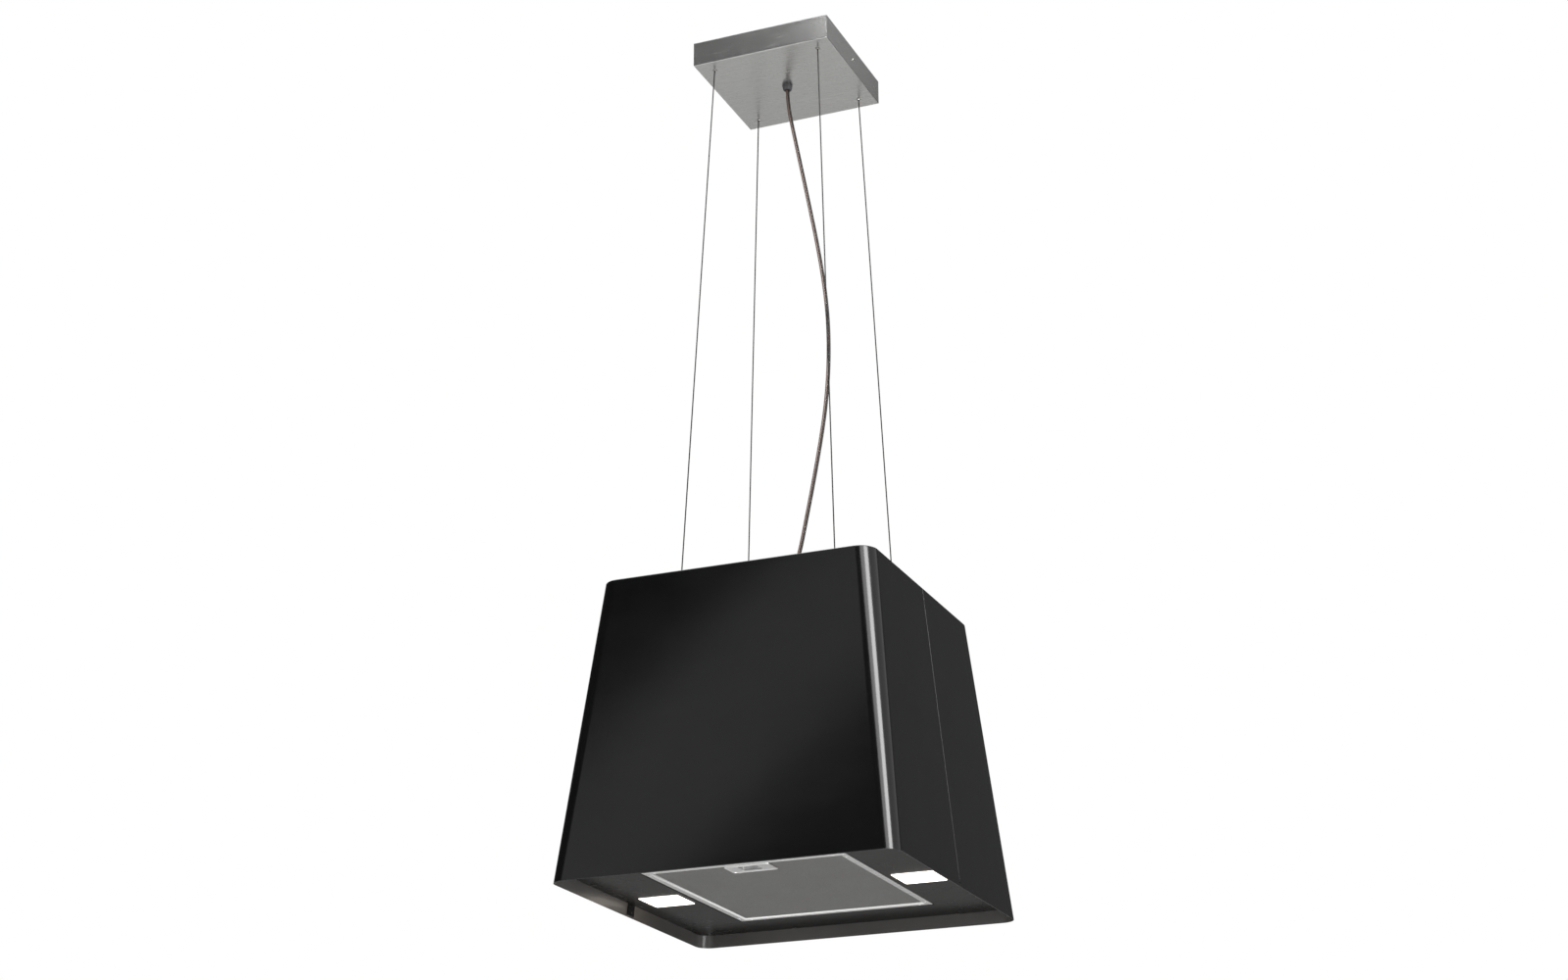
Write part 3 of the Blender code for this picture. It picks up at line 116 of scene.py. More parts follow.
def weigh_normals(obj):
    """Keeps large flat faces flat in the shading where small round ones meet them."""
    modifier = obj.modifiers.new("weighted", "WEIGHTED_NORMAL")
    modifier.keep_sharp = True
    modifier.weight = 80


def combine(obj, bm, operation="DIFFERENCE"):
    """Cuts a bmesh away from a piece, or joins it on, in the frame's coordinates."""
    bmesh.ops.recalc_face_normals(bm, faces=bm.faces)
    mesh = bpy.data.meshes.new("tool")
    bm.to_mesh(mesh)
    bm.free()
    tool = link(bpy.data.objects.new("tool", mesh))
    modifier = obj.modifiers.new("combine", "BOOLEAN")
    modifier.operation = operation
    modifier.object = tool
    graph = bpy.context.evaluated_depsgraph_get()
    old = obj.data
    obj.data = bpy.data.meshes.new_from_object(obj.evaluated_get(graph))
    obj.data.name = obj.name
    obj.modifiers.clear()
    bpy.data.objects.remove(tool)
    bpy.data.meshes.remove(old)
    obj.data.shade_smooth()
    obj.data.set_sharp_from_angle(angle=radians(35))


def merge(bm, other):
    """Adds the shapes of one bmesh to another, and frees it."""
    mesh = bpy.data.meshes.new("added")
    other.to_mesh(mesh)
    other.free()
    bm.from_mesh(mesh)
    bpy.data.meshes.remove(mesh)
    return bm


def bridge(bm, ring, following, closed=True):
    """Faces between two rows of vertices."""
    count = len(ring)
    for n in range(count if closed else count - 1):
        m = (n + 1) % count
        bm.faces.new((ring[n], ring[m], following[m], following[n]))


def rounded_outline(half_x, half_y, radius, steps=6):
    """A rectangle with round corners, as points from its right side round to the left."""
    points = []
    for quarter, (side_x, side_y) in enumerate(((1, 1), (-1, 1), (-1, -1), (1, -1))):
        for n in range(steps + 1):
            angle = (quarter + n / steps) * pi / 2
            x = side_x * (half_x - radius) + radius * cos(angle)
            y = side_y * (half_y - radius) + radius * sin(angle)
            points.append((x, y))
    return points


def stack(outline, levels, centre=(0, 0)):
    """A closed solid of rings at several heights: levels are (inset, z), outline(inset) the points."""
    bm = bmesh.new()
    rings = []
    for inset, z in levels:
        rings.append([bm.verts.new((centre[0] + x, centre[1] + y, z)) for x, y in outline(inset)])
    bm.faces.new(rings[0])
    bm.faces.new(rings[-1])
    for ring, following in zip(rings, rings[1:]):
        bridge(bm, ring, following)
    return bm


def soft_levels(z0, z1, edge, steps=3):
    """The (inset, z) rings of a slab whose edges are rounded by the radius edge."""
    arc = [n / steps * pi / 2 for n in range(steps + 1)]
    low = [(edge * (1 - sin(a)), z0 + edge * (1 - cos(a))) for a in arc]
    high = [(edge * (1 - sin(a)), z1 - edge * (1 - cos(a))) for a in reversed(arc)]
    return low + high


def slab(half_x, half_y, z0, z1, corner, edge, centre=(0, 0), steps=6):
    """A flat block with round corners and softened edges."""

    def outline(inset):
        return rounded_outline(half_x - inset, half_y - inset, max(corner - inset, 0.00005), steps)

    return stack(outline, soft_levels(z0, z1, edge), centre)


def turned(profile, steps=48, centre=(0, 0, 0), axis=(0, 0, 1)):
    """Turns a profile of (radius, height) points, closed on itself or ended on the axis."""
    bm = bmesh.new()
    rings = []
    for radius, height in profile:
        if radius == 0:
            rings.append([bm.verts.new((0, 0, height))] * steps)
            continue
        angles = [2 * pi * n / steps for n in range(steps)]
        rings.append([bm.verts.new((radius * cos(a), radius * sin(a), height)) for a in angles])
    for ring, following in zip(rings, rings[1:] + rings[:1]):
        for n in range(steps):
            m = (n + 1) % steps
            around = dict.fromkeys((ring[n], ring[m], following[m], following[n]))
            if len(around) > 2:
                bm.faces.new(list(around))
    turn = Vector((0, 0, 1)).rotation_difference(Vector(axis)).to_matrix().to_4x4()
    bm.transform(Matrix.Translation(centre) @ turn)
    return bm


def rod(start, end, radius, steps=32):
    along = Vector(end) - Vector(start)
    profile = [(0, 0), (radius, 0), (radius, along.length), (0, along.length)]
    return turned(profile, steps, start, along.normalized())


def block(x0, x1, y0, y1, z0, z1):
    middle = Matrix.Translation(((x0 + x1) / 2, (y0 + y1) / 2, (z0 + z1) / 2))
    bm = bmesh.new()
    size = Matrix.Diagonal((abs(x1 - x0), abs(y1 - y0), abs(z1 - z0), 1))
    bmesh.ops.create_cube(bm, size=1, matrix=middle @ size)
    return bm


def tube(path, radius, sides=10, twist=None):
    """A round tube along a path. With twist, each point's own offset round the path is added."""
    bm = bmesh.new()
    rings = []
    normal = Vector((1, 0, 0))
    for n, place in enumerate(path):
        ahead = path[min(n + 1, len(path) - 1)] - path[max(n - 1, 0)]
        along = ahead.normalized()
        normal = (normal - along * normal.dot(along)).normalized()
        across = along.cross(normal)
        middle = place
        if twist:
            reach, angle = twist(n)
            middle = place + reach * (cos(angle) * normal + sin(angle) * across)
        ring = []
        for side in range(sides):
            turn = 2 * pi * side / sides
            ring.append(bm.verts.new(middle + radius * (cos(turn) * normal + sin(turn) * across)))
        rings.append(ring)
    bm.faces.new(rings[0])
    bm.faces.new(rings[-1])
    for ring, following in zip(rings, rings[1:]):
        bridge(bm, ring, following)
    return bm


def smooth_path(points, steps):
    """Points along a smooth curve through the given ones (a Catmull-Rom spline)."""
    ends = [2 * points[0] - points[1], *points, 2 * points[-1] - points[-2]]
    path = []
    for n in range(steps + 1):
        place = n / steps * (len(points) - 1)
        piece = min(int(place), len(points) - 2)
        t = place - piece
        before, start, end, after = ends[piece : piece + 4]
        curve = 2 * start + (end - before) * t
        curve += (2 * before - 5 * start + 4 * end - after) * t * t
        curve += (3 * start - before - 3 * end + after) * t * t * t
        path.append(curve / 2)
    return path


# ---------------------------------------------------------------- tools for materials

class Finish:
    """A Principled material, with short ways to wire detail into it."""

    def __init__(self, name, roughness, metallic=0.0, **sockets):
        self.material = bpy.data.materials.new(name)
        self.material.use_nodes = True
        self.tree = self.material.node_tree
        self.shader = self.tree.nodes["Principled BSDF"]
        self.shader.inputs["Roughness"].default_value = roughness
        self.shader.inputs["Metallic"].default_value = metallic
        for socket, value in sockets.items():
            self.shader.inputs[socket.replace("_", " ")].default_value = value
        self.place = self.node("ShaderNodeTexCoord").outputs["Object"]

    def node(self, kind, **settings):
        node = self.tree.nodes.new(kind)
        for key, value in settings.items():
            setattr(node, key, value)
        return node

    def put(self, node, name, value):
        """Sets a socket to a value, or links it to another socket."""
        socket = node.inputs[name]
        if isinstance(value, bpy.types.NodeSocket):
            self.tree.links.new(value, socket)
        else:
            socket.default_value = value

    def stretched(self, stretch):
        node = self.node("ShaderNodeMapping")
        self.put(node, "Vector", self.place)
        self.put(node, "Scale", stretch)
        return node.outputs["Vector"]

    def noise(self, scale, detail=4.0, stretch=(1, 1, 1), rough=0.55):
        node = self.node("ShaderNodeTexNoise")
        self.put(node, "Vector", self.stretched(stretch))
        self.put(node, "Scale", scale)
        self.put(node, "Detail", detail)
        self.put(node, "Roughness", rough)
        return node.outputs["Fac"]

    def cells(self, scale, stretch=(1, 1, 1), output="Distance"):
        node = self.node("ShaderNodeTexVoronoi")
        self.put(node, "Vector", self.stretched(stretch))
        self.put(node, "Scale", scale)
        return node.outputs[output]

    def waves(self, scale, distortion):
        node = self.node("ShaderNodeTexWave", bands_direction="Z")
        self.put(node, "Vector", self.place)
        self.put(node, "Scale", scale)
        self.put(node, "Distortion", distortion)
        return node.outputs["Fac"]

    def span(self, value, low, high, start=0.0, end=1.0):
        """Maps value from start..end to low..high, clamped."""
        node = self.node("ShaderNodeMapRange")
        self.put(node, "Value", value)
        self.put(node, "From Min", start)
        self.put(node, "From Max", end)
        self.put(node, "To Min", low)
        self.put(node, "To Max", high)
        return node.outputs["Result"]

    def maths(self, operation, first, second=0.0):
        node = self.node("ShaderNodeMath", operation=operation)
        self.put(node, 0, first)
        self.put(node, 1, second)
        return node.outputs[0]

    def blend(self, share, first, second):
        """A mix of two colours, each three numbers or a socket."""
        node = self.node("ShaderNodeMix", data_type="RGBA")
        self.put(node, 0, share)
        for index, colour in ((6, first), (7, second)):
            self.put(node, index, (*colour, 1.0) if isinstance(colour, tuple) else colour)
        return node.outputs[2]

    def colour(self, value):
        self.put(self.shader, "Base Color", value)

    def roughness(self, value):
        self.put(self.shader, "Roughness", value)

    def bump(self, height, distance, under=None):
        """Adds relief of a given depth in metres, over an earlier one if there is one."""
        node = self.node("ShaderNodeBump")
        self.put(node, "Height", height)
        self.put(node, "Distance", distance)
        self.put(node, "Strength", 1.0)
        if under:
            self.put(node, "Normal", under)
        self.put(self.shader, "Normal", node.outputs["Normal"])
        return node.outputs["Normal"]

    def facing_up(self):
        """1 on surfaces that face up and 0 on the rest."""
        node = self.node("ShaderNodeSeparateXYZ")
        self.put(node, 0, self.node("ShaderNodeNewGeometry").outputs["Normal"])
        return self.span(node.outputs["Z"], 0.0, 1.0, 0.7, 0.95)


def dusty(finish, colour, amount):
    """A little settled dust on what faces up, as a colour over the given one."""
    patches = finish.span(finish.noise(38, 8), 0.25, 1.0, 0.35, 0.7)
    share = finish.maths("MULTIPLY", finish.facing_up(), finish.maths("MULTIPLY", patches, amount))
    return finish.blend(share, colour, (0.30, 0.29, 0.27))


def paint(name, colour, light, roughness, grain, depth, dust=0.10, gloss=0.5):
    """Powder coat: a fine orange-peel skin, faint mottling and a few specks."""
    finish = Finish(name, roughness, Specular_IOR_Level=gloss)
    mottle = finish.span(finish.noise(14, 5), 0.0, 1.0, 0.3, 0.7)
    speck = finish.span(finish.cells(grain * 0.35), 1.0, 0.0, 0.03, 0.08)
    base = finish.blend(mottle, colour, light)
    base = finish.blend(finish.maths("MULTIPLY", speck, 0.10), base, (0.16, 0.16, 0.16))
    finish.colour(dusty(finish, base, dust))
    smear = finish.noise(6.5, 7, (1, 1, 2.2))
    finish.roughness(finish.span(smear, roughness - 0.02, roughness + 0.035, 0.3, 0.7))
    under = finish.bump(finish.noise(grain, 3), depth)
    finish.bump(finish.noise(grain * 0.22, 2), depth * 2.2, under)
    return finish.material


def brushed(name, colour, roughness, along, tangent=None, anisotropic=0.0, lines=1500, depth=4e-6):
    """Metal brushed along one axis: fine lines of tone, gloss and relief."""
    finish = Finish(name, roughness, 1.0, Anisotropic=anisotropic)
    stretch = tuple(0.012 if axis == along else 1.0 for axis in "XYZ")
    fine = finish.noise(lines, 4, stretch, 0.7)
    broad = finish.noise(lines * 0.12, 3, stretch)
    patch = finish.noise(9, 4)
    lines_tone = finish.maths("ADD", fine, finish.maths("MULTIPLY", broad, 0.5))
    tone = finish.span(lines_tone, 0.0, 1.0, 0.45, 1.05)
    dark = tuple(0.90 * part for part in colour)
    base = finish.blend(tone, dark, colour)
    cloudy = tuple(0.93 * part for part in colour)
    finish.colour(finish.blend(finish.span(patch, 0.0, 0.5, 0.4, 0.7), base, cloudy))
    finish.roughness(finish.span(fine, roughness - 0.02, roughness + 0.04, 0.3, 0.7))
    finish.bump(fine, depth)
    if tangent:
        node = finish.node("ShaderNodeTangent", direction_type="RADIAL", axis=tangent)
        finish.put(finish.shader, "Tangent", node.outputs["Tangent"])
    return finish.material


def galvanised(name):
    """Zinc plate: crystals of slightly different tone, and light wear."""
    finish = Finish(name, 0.38, 1.0)
    crystal = finish.cells(170, output="Color")
    grain = finish.node("ShaderNodeSeparateColor")
    finish.put(grain, 0, crystal)
    tone = finish.maths("MULTIPLY", grain.outputs[0], finish.span(finish.noise(30), 0.5, 1.0, 0.3, 0.7))
    base = finish.blend(tone, (0.46, 0.48, 0.50), (0.63, 0.63, 0.61))
    finish.colour(dusty(finish, base, 0.25))
    finish.roughness(finish.span(grain.outputs[1], 0.32, 0.50))
    finish.bump(finish.noise(900, 4), 0.00001)
    return finish.material


def turned_metal(name, colour, roughness):
    """Machined metal: tool rings and a duller film in patches."""
    finish = Finish(name, roughness, 1.0)
    rings = finish.waves(900, 0.6)
    patch = finish.span(finish.noise(160, 5), 0.0, 1.0, 0.35, 0.65)
    dull = tuple(0.72 * part for part in colour)
    finish.colour(finish.blend(patch, dull, colour))
    finish.roughness(finish.span(rings, roughness - 0.04, roughness + 0.10))
    finish.bump(rings, 0.000008)
    return finish.material


def rope_metal(name):
    """Drawn steel wire, streaked with fine lines of tone."""
    finish = Finish(name, 0.30, 1.0)
    drawn = finish.noise(4000, 3, (1, 1, 0.05))
    grime = finish.span(finish.noise(220, 5), 0.0, 1.0, 0.4, 0.7)
    base = finish.blend(drawn, (0.020, 0.020, 0.020), (0.050, 0.050, 0.049))
    finish.colour(finish.blend(finish.maths("MULTIPLY", grime, 0.35), base, (0.06, 0.058, 0.055)))
    finish.roughness(finish.span(drawn, 0.24, 0.42))
    return finish.material


def plastic(name, dark, light, roughness, grain=1400.0, depth=0.00001, dust=0.2):
    """Moulded plastic: a fine spark-eroded texture with faint flow marks."""
    finish = Finish(name, roughness)
    flow = finish.noise(26, 5, (1, 1, 0.4))
    base = finish.blend(finish.span(flow, 0.0, 1.0, 0.35, 0.65), dark, light)
    finish.colour(dusty(finish, base, dust))
    finish.roughness(finish.span(finish.noise(90, 4), roughness - 0.06, roughness + 0.08, 0.3, 0.7))
    finish.bump(finish.noise(grain, 3), depth)
    return finish.material


def clear_jacket(name):
    """Clear, faintly smoky PVC that shows the cores through it."""
    finish = Finish(name, 0.08, Alpha=0.07)
    finish.colour(finish.blend(finish.noise(60, 4), (0.16, 0.15, 0.14), (0.24, 0.23, 0.22)))
    finish.roughness(finish.span(finish.noise(320, 4), 0.07, 0.16, 0.3, 0.7))
    finish.bump(finish.noise(240, 3, (1, 1, 0.3)), 0.00002)
    return finish.material


def core_insulation(name, dark, light, roughness=0.38):
    """A core's coloured insulation, a little uneven along its length."""
    finish = Finish(name, roughness)
    finish.colour(finish.blend(finish.noise(300, 4), dark, light))
    finish.bump(finish.noise(900, 3, (1, 1, 0.2)), 0.00001)
    return finish.material


def mesh_metal(name):
    """Stretched aluminium: cut faces, dull flats and a film of kitchen air."""
    finish = Finish(name, 0.36, 1.0)
    strand = finish.noise(700, 3)
    film = finish.span(finish.noise(16, 6), 0.0, 1.0, 0.35, 0.7)
    base = finish.blend(strand, (0.15, 0.15, 0.148), (0.42, 0.42, 0.415))
    finish.colour(finish.blend(finish.maths("MULTIPLY", film, 0.22), base, (0.22, 0.21, 0.19)))
    finish.roughness(finish.span(strand, 0.28, 0.50, 0.3, 0.7))
    finish.bump(finish.noise(2600, 3), 0.00003)
    return finish.material


def wool_metal(name):
    """Crumpled foil layers between the two grids, seen only through them."""
    finish = Finish(name, 0.5, 1.0)
    crease = finish.cells(420, (1, 1, 0.5))
    # Darker in the dents that the cells' bump sinks: painted shade in the creases.
    base = finish.blend(finish.span(crease, 0.0, 1.0, 0.05, 0.6), (0.03, 0.03, 0.03), (0.20, 0.20, 0.195))
    finish.colour(base)
    finish.roughness(finish.span(finish.noise(800), 0.38, 0.62))
    finish.bump(crease, 0.0008)
    return finish.material


def carbon(name):
    """Granules of charcoal behind a thin fleece."""
    finish = Finish(name, 0.9)
    granule = finish.cells(330)
    # Lighter on each granule's crown and darker in the gaps between granules: painted shade in the gaps.
    depth = finish.span(granule, 0.0, 1.0, 0.1, 0.7)
    base = finish.blend(depth, (0.055, 0.055, 0.057), (0.010, 0.010, 0.011))
    finish.colour(dusty(finish, base, 0.35))
    finish.roughness(finish.span(finish.noise(200), 0.75, 0.98))
    finish.bump(finish.span(granule, 1.0, 0.0, 0.0, 0.8), 0.0016)
    return finish.material


def lamp_glow(name, strength):
    """An opal diffuser lit from behind."""
    finish = Finish(name, 0.35, Emission_Strength=strength)
    frost = finish.noise(700, 4)
    finish.colour(finish.blend(frost, (0.88, 0.87, 0.84), (0.95, 0.94, 0.92)))
    finish.put(finish.shader, "Emission Color", finish.blend(frost, (1.0, 0.93, 0.84), (1.0, 0.96, 0.90)))
    finish.roughness(finish.span(frost, 0.28, 0.42))
    finish.bump(frost, 0.00001)
    return finish.material


def board_finish(name):
    """A white circuit board with rows of light-emitting chips and copper lands."""
    finish = Finish(name, 0.45)
    chip = finish.node("ShaderNodeTexBrick", offset=0.0)
    finish.put(chip, "Vector", finish.place)
    finish.put(chip, "Scale", 60.0)
    finish.put(chip, "Mortar Size", 0.012)
    finish.put(chip, "Color1", (0.82, 0.82, 0.78, 1))
    finish.put(chip, "Color2", (0.78, 0.78, 0.74, 1))
    finish.put(chip, "Mortar", (0.62, 0.42, 0.16, 1))
    finish.colour(chip.outputs["Color"])
    finish.bump(chip.outputs["Fac"], 0.0001)
    finish.roughness(finish.span(finish.noise(300), 0.35, 0.55))
    return finish.material


# ---------------------------------------------------------------- the camera

CAMERA_PLACE = (1.4096, -3.3953, -2.1293)
CAMERA_TURN = (111.0, 0.178, 22.73)  # degrees about X, Y and Z
CAMERA_LENS = 61.35  # mm, on a 36 mm sensor


def make_camera():
    """Low in front of the hood and to its right, looking up at it."""
    data = bpy.data.cameras.new("camera")
    data.lens = CAMERA_LENS
    data.sensor_width = 36.0
    data.clip_end = 60.0
    camera = link(bpy.data.objects.new("camera", data))
    camera.location = CAMERA_PLACE
    camera.rotation_euler = [radians(angle) for angle in CAMERA_TURN]
    bpy.context.scene.camera = camera


# ---------------------------------------------------------------- the power cord

CORD_DIAMETER = 0.0068
CORD_SIDE_X = 0.9223  # the cord bows sideways in the vertical plane through this direction
CORD_SIDE_Y = 0.3864
CORD_STEPS = 192
CORE_RADIUS = 0.0015
CORE_REACH = 0.00175  # from the cord's middle to each core's middle
CORE_TWIST_LENGTH = 7.0  # of cord, for one whole turn of the cores
CORE_START = radians(-20)  # puts the black core on the cord's right

# The cord's route between the glands, as (sideways, height) in the plane that it bows in.
CORD_ROUTE = [
    (0.0000, CORD_FROM_Z),
    (0.0004, -0.0640),
    (0.0022, -0.0830),
    (0.0054, -0.1030),
    (0.0092, -0.1240),
    (0.0180, -0.1710),
    (0.0268, -0.2180),
    (0.0354, -0.2650),
    (0.0437, -0.3120),
    (0.0510, -0.3590),
    (0.0566, -0.4050),
    (0.0598, -0.4500),
    (0.0604, -0.4950),
    (0.0588, -0.5400),
    (0.0549, -0.5850),
    (0.0490, -0.6290),
    (0.0419, -0.6730),
    (0.0342, -0.7170),
    (0.0262, -0.7600),
    (0.0182, -0.8020),
    (0.0104, -0.8360),
    (0.0041, -0.8620),
    (0.0009, -0.8810),
    (0.0000, CORD_TO_Z),
]


def make_power_cord():
    """A clear jacket round three cores that turn very slowly along it."""
    route = [Vector((CORD_SIDE_X * side, CORD_SIDE_Y * side, z)) for side, z in CORD_ROUTE]
    path = smooth_path(route, CORD_STEPS)
    curve = bpy.data.curves.new("power_cord_jacket", "CURVE")
    curve.dimensions = "3D"
    curve.bevel_depth = CORD_DIAMETER / 2
    curve.bevel_resolution = 6
    curve.use_fill_caps = True
    spline = curve.splines.new("POLY")
    spline.points.add(len(path) - 1)
    for point, place in zip(spline.points, path):
        point.co = (*place, 1)
    spline.use_smooth = True
    curve.materials.append(clear_jacket("clear_jacket"))
    jacket = link(bpy.data.objects.new("power_cord_jacket", curve))
    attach(jacket, "hood")
    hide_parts("power_cord")

    length = sum((b - a).length for a, b in zip(path, path[1:]))
    finishes = {
        "black": core_insulation("black_insulation", (0.002, 0.002, 0.002), (0.004, 0.004, 0.004), 0.6),
        "brown": core_insulation("brown_insulation", (0.115, 0.072, 0.057), (0.155, 0.100, 0.080)),
        "grey": core_insulation("grey_insulation", (0.14, 0.130, 0.122), (0.19, 0.178, 0.168)),
    }
    for number, (name, finish) in enumerate(finishes.items()):
        phase = 2 * pi * number / len(finishes) + CORE_START

        def twist(n, phase=phase):
            return CORE_REACH, phase + 2 * pi * length / CORE_TWIST_LENGTH * n / CORD_STEPS

        bm = tube(path, CORE_RADIUS, 10, twist)
        add_piece("cord_core_" + name, bm, "hood", finish)


def make_glands(finish, rubber):
    """Each cord grip: a ribbed dome nut over a rubber seal that the cord leaves through."""
    clearance = 0.0002
    bore = CORD_DIAMETER / 2 + clearance
    ribs, rib_depth, soft = 16, 0.0005, 0.0004
    mouth, mouth_edge, seal_radius = 0.0046, 0.0050, 0.0045
    for name, side in (("ceiling_gland", -1), ("body_gland", 1)):
        low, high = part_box(name)
        radius = high.x
        if side < 0:
            seat, reach = COVER_LOW.z, COVER_LOW.z - low.z
        else:
            seat, reach = PLATE_HIGH.z, high.z - PLATE_HIGH.z
        steps = ribs * 4

        def ring(bm, radius_at, height, rib):
            points = []
            for n in range(steps):
                angle = 2 * pi * n / steps
                at = radius_at - (rib if n % 4 == 0 else 0.0)
                points.append((at * cos(angle), at * sin(angle), seat + side * height))
            return [bm.verts.new(point) for point in points]

        bm = bmesh.new()
        rings = []
        collar = 0.22 * reach
        nut = radius - 0.0006
        for at, height, rib in (
            (bore, GAP, 0),
            (radius - soft, GAP, 0),
            (radius, GAP + soft, 0),
            (radius, collar, 0),
            (nut, collar + 0.0002, 0),
            (nut, collar + 0.0006, rib_depth),
            (nut, 0.55 * reach, rib_depth),
        ):
            rings.append(ring(bm, at, height, rib))
        for share in (0.25, 0.5, 0.75, 1.0):
            angle = share * pi / 2
            top = 0.62 * reach + 0.30 * reach * sin(angle)
            rings.append(ring(bm, 0.0058 + (radius - 0.0066) * cos(angle) * 0.9, top, 0))
        for at, share in ((mouth_edge, 0.92), (mouth, 0.80), (bore, 0.80)):
            rings.append(ring(bm, at, share * reach, 0))
        for row, following in zip(rings, rings[1:] + rings[:1]):
            bridge(bm, row, following)
        gland = add_piece(name + "_nut", bm, "hood", finish, [name])
        weigh_normals(gland)
        seal = [
            (bore - clearance, 0.70),
            (seal_radius, 0.70),
            (seal_radius, 0.90),
            (0.0042, 0.97),
            (bore + 0.0001, 1.0),
            (bore - clearance, 0.99),
        ]
        seal = [(at, seat + side * (share * reach)) for at, share in seal]
        add_piece(name + "_seal", turned(seal, 48), "hood", rubber)


# ---------------------------------------------------------------- the suspension

def make_wires(finish):
    """Stranded steel rope: a six-lobed section that twists as it goes."""
    radius = 0.001
    lobes, per_lobe = 6, 4
    groove = 0.22  # how deep the strands' valleys are, as a share of the radius
    lay_length = 0.0105
    step = 0.0012
    for corner in CORNERS:
        name = "suspension_wire_" + corner
        low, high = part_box(name)
        side_x, side_y = CORNERS[corner]
        ends = []
        for z, reach_x, reach_y in (
            (high.z, low.x if side_x > 0 else high.x, low.y if side_y > 0 else high.y),
            (low.z, high.x if side_x > 0 else low.x, high.y if side_y > 0 else low.y),
        ):
            inward = -radius if z == low.z else radius
            ends.append(Vector((reach_x + inward * side_x, reach_y + inward * side_y, z)))
        top, foot = ends
        count = int((top - foot).length / step)
        along = (foot - top).normalized()
        normal = Vector((1, 0, 0))
        normal = (normal - along * normal.dot(along)).normalized()
        across = along.cross(normal)
        bm = bmesh.new()
        rings = []
        for n in range(count + 1):
            middle = top.lerp(foot, n / count)
            turn = 2 * pi * n * step / lay_length
            ring = []
            for point in range(lobes * per_lobe):
                angle = 2 * pi * point / (lobes * per_lobe)
                bulge = abs(cos(lobes * angle / 2))
                reach = radius * (1 - groove + groove * bulge)
                offset = cos(angle + turn) * normal + sin(angle + turn) * across
                ring.append(bm.verts.new(middle + reach * offset))
            rings.append(ring)
        bm.faces.new(rings[0])
        bm.faces.new(rings[-1])
        for ring, following in zip(rings, rings[1:]):
            bridge(bm, ring, following)
        add_piece("rope_" + corner, bm, "hood", finish, [name], 180)


def make_ceiling_cover(sides_x, sides_y, underside):
    """A shallow folded box: soft bends, mitred corners and countersunk wire holes."""
    half = COVER_HIGH.x
    bend, mitre, wall = 0.0012, 0.0003, 0.0015
    cord_hole, screw_hole = 0.0062, 0.0019
    past = 0.004  # how far a cut, or stock to be cut off, goes past the sheet
    bm = block(-half, half, -half, half, COVER_LOW.z, COVER_HIGH.z + past)
    folds = [edge for edge in bm.edges if max(v.co.z for v in edge.verts) < COVER_LOW.z + 0.001]
    bmesh.ops.bevel(bm, geom=folds, offset=bend, segments=4, profile=0.5, affect="EDGES")
    corners = []
    for edge in bm.edges:
        first, last = (vert.co for vert in edge.verts)
        if abs(first.z - last.z) > COVER_HIGH.z - COVER_LOW.z:
            corners.append(edge)
    bmesh.ops.bevel(bm, geom=corners, offset=mitre, segments=2, profile=0.5, affect="EDGES")
    cover = add_piece("ceiling_cover_shell", bm, "hood", sides_y, ["ceiling_cover"])
    inner = half - wall
    combine(cover, block(-inner, inner, -inner, inner, COVER_LOW.z + wall, 0.01))
    combine(cover, block(-1, 1, -1, 1, COVER_HIGH.z, 0.02))
    holes = rod((0, 0, COVER_LOW.z - 0.01), (0, 0, COVER_LOW.z + past), cord_hole, 40)
    for corner in CORNERS:
        low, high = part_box("wire_gripper_" + corner)
        centre = ((low.x + high.x) / 2, (low.y + high.y) / 2, COVER_LOW.z)
        sink = [
            (0, -0.001),
            (0.0039, -0.001),
            (0.0036, 0.0),
            (0.0030, 0.0005),
            (0.0030, past),
            (0, past),
        ]
        merge(holes, turned(sink, 40, centre))
    screw_low, screw_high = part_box("cover_screw_left")
    z = (screw_low.z + screw_high.z) / 2
    for side in SIDES.values():
        start, end = (side * (half - past), 0, z), (side * (half + past / 2), 0, z)
        merge(holes, rod(start, end, screw_hole))
    combine(cover, holes)
    seams = bmesh.new()
    groove = 0.00012
    for side_x, side_y in CORNERS.values():
        slot = block(-groove, groove, -0.0022, 0.0022, COVER_LOW.z + 0.0020, 0.01)
        slot.transform(Matrix.Rotation(atan2(side_y, side_x) - pi / 2, 4, "Z"))
        slot.transform(Matrix.Translation((side_x * half, side_y * half, 0)))
        merge(seams, slot)
    combine(cover, seams)
    cover.data.materials.clear()
    for finish in (sides_y, sides_x, underside):
        cover.data.materials.append(finish)
    for face in cover.data.polygons:
        if abs(face.normal.z) > 0.8:
            face.material_index = 2
        elif abs(face.normal.x) > 0.7:
            face.material_index = 1
    weigh_normals(cover)


def screw_shape(seat, out, head_radius, head_height, shank_radius, shank_length):
    """A pan-head screw with a cross recess, as the piece's bmesh and the bars to cut from it."""
    dome = []
    for n in range(6):
        angle = n / 5 * pi / 2
        dome.append((head_radius * sin(angle) if n else 0, head_height * (0.45 + 0.55 * cos(angle))))
    profile = [
        *dome,
        (head_radius, 0.0001),
        (head_radius - 0.0001, 0),
        (shank_radius, 0),
        (shank_radius, -shank_length + shank_radius),
        (0, -shank_length),
    ]
    recess = []
    arm = 0.62 * head_radius
    width = 0.12 * head_radius
    aim = Vector((0, 0, 1)).rotation_difference(Vector(out)).to_matrix().to_4x4()
    for turn in (0, pi / 2):
        bar = block(-arm, arm, -width, width, head_height * 0.35, head_height * 1.5)
        bar.transform(Matrix.Translation(seat) @ aim @ Matrix.Rotation(turn + 0.3, 4, "Z"))
        recess.append(bar)
    return turned(profile, 40, seat, out), recess


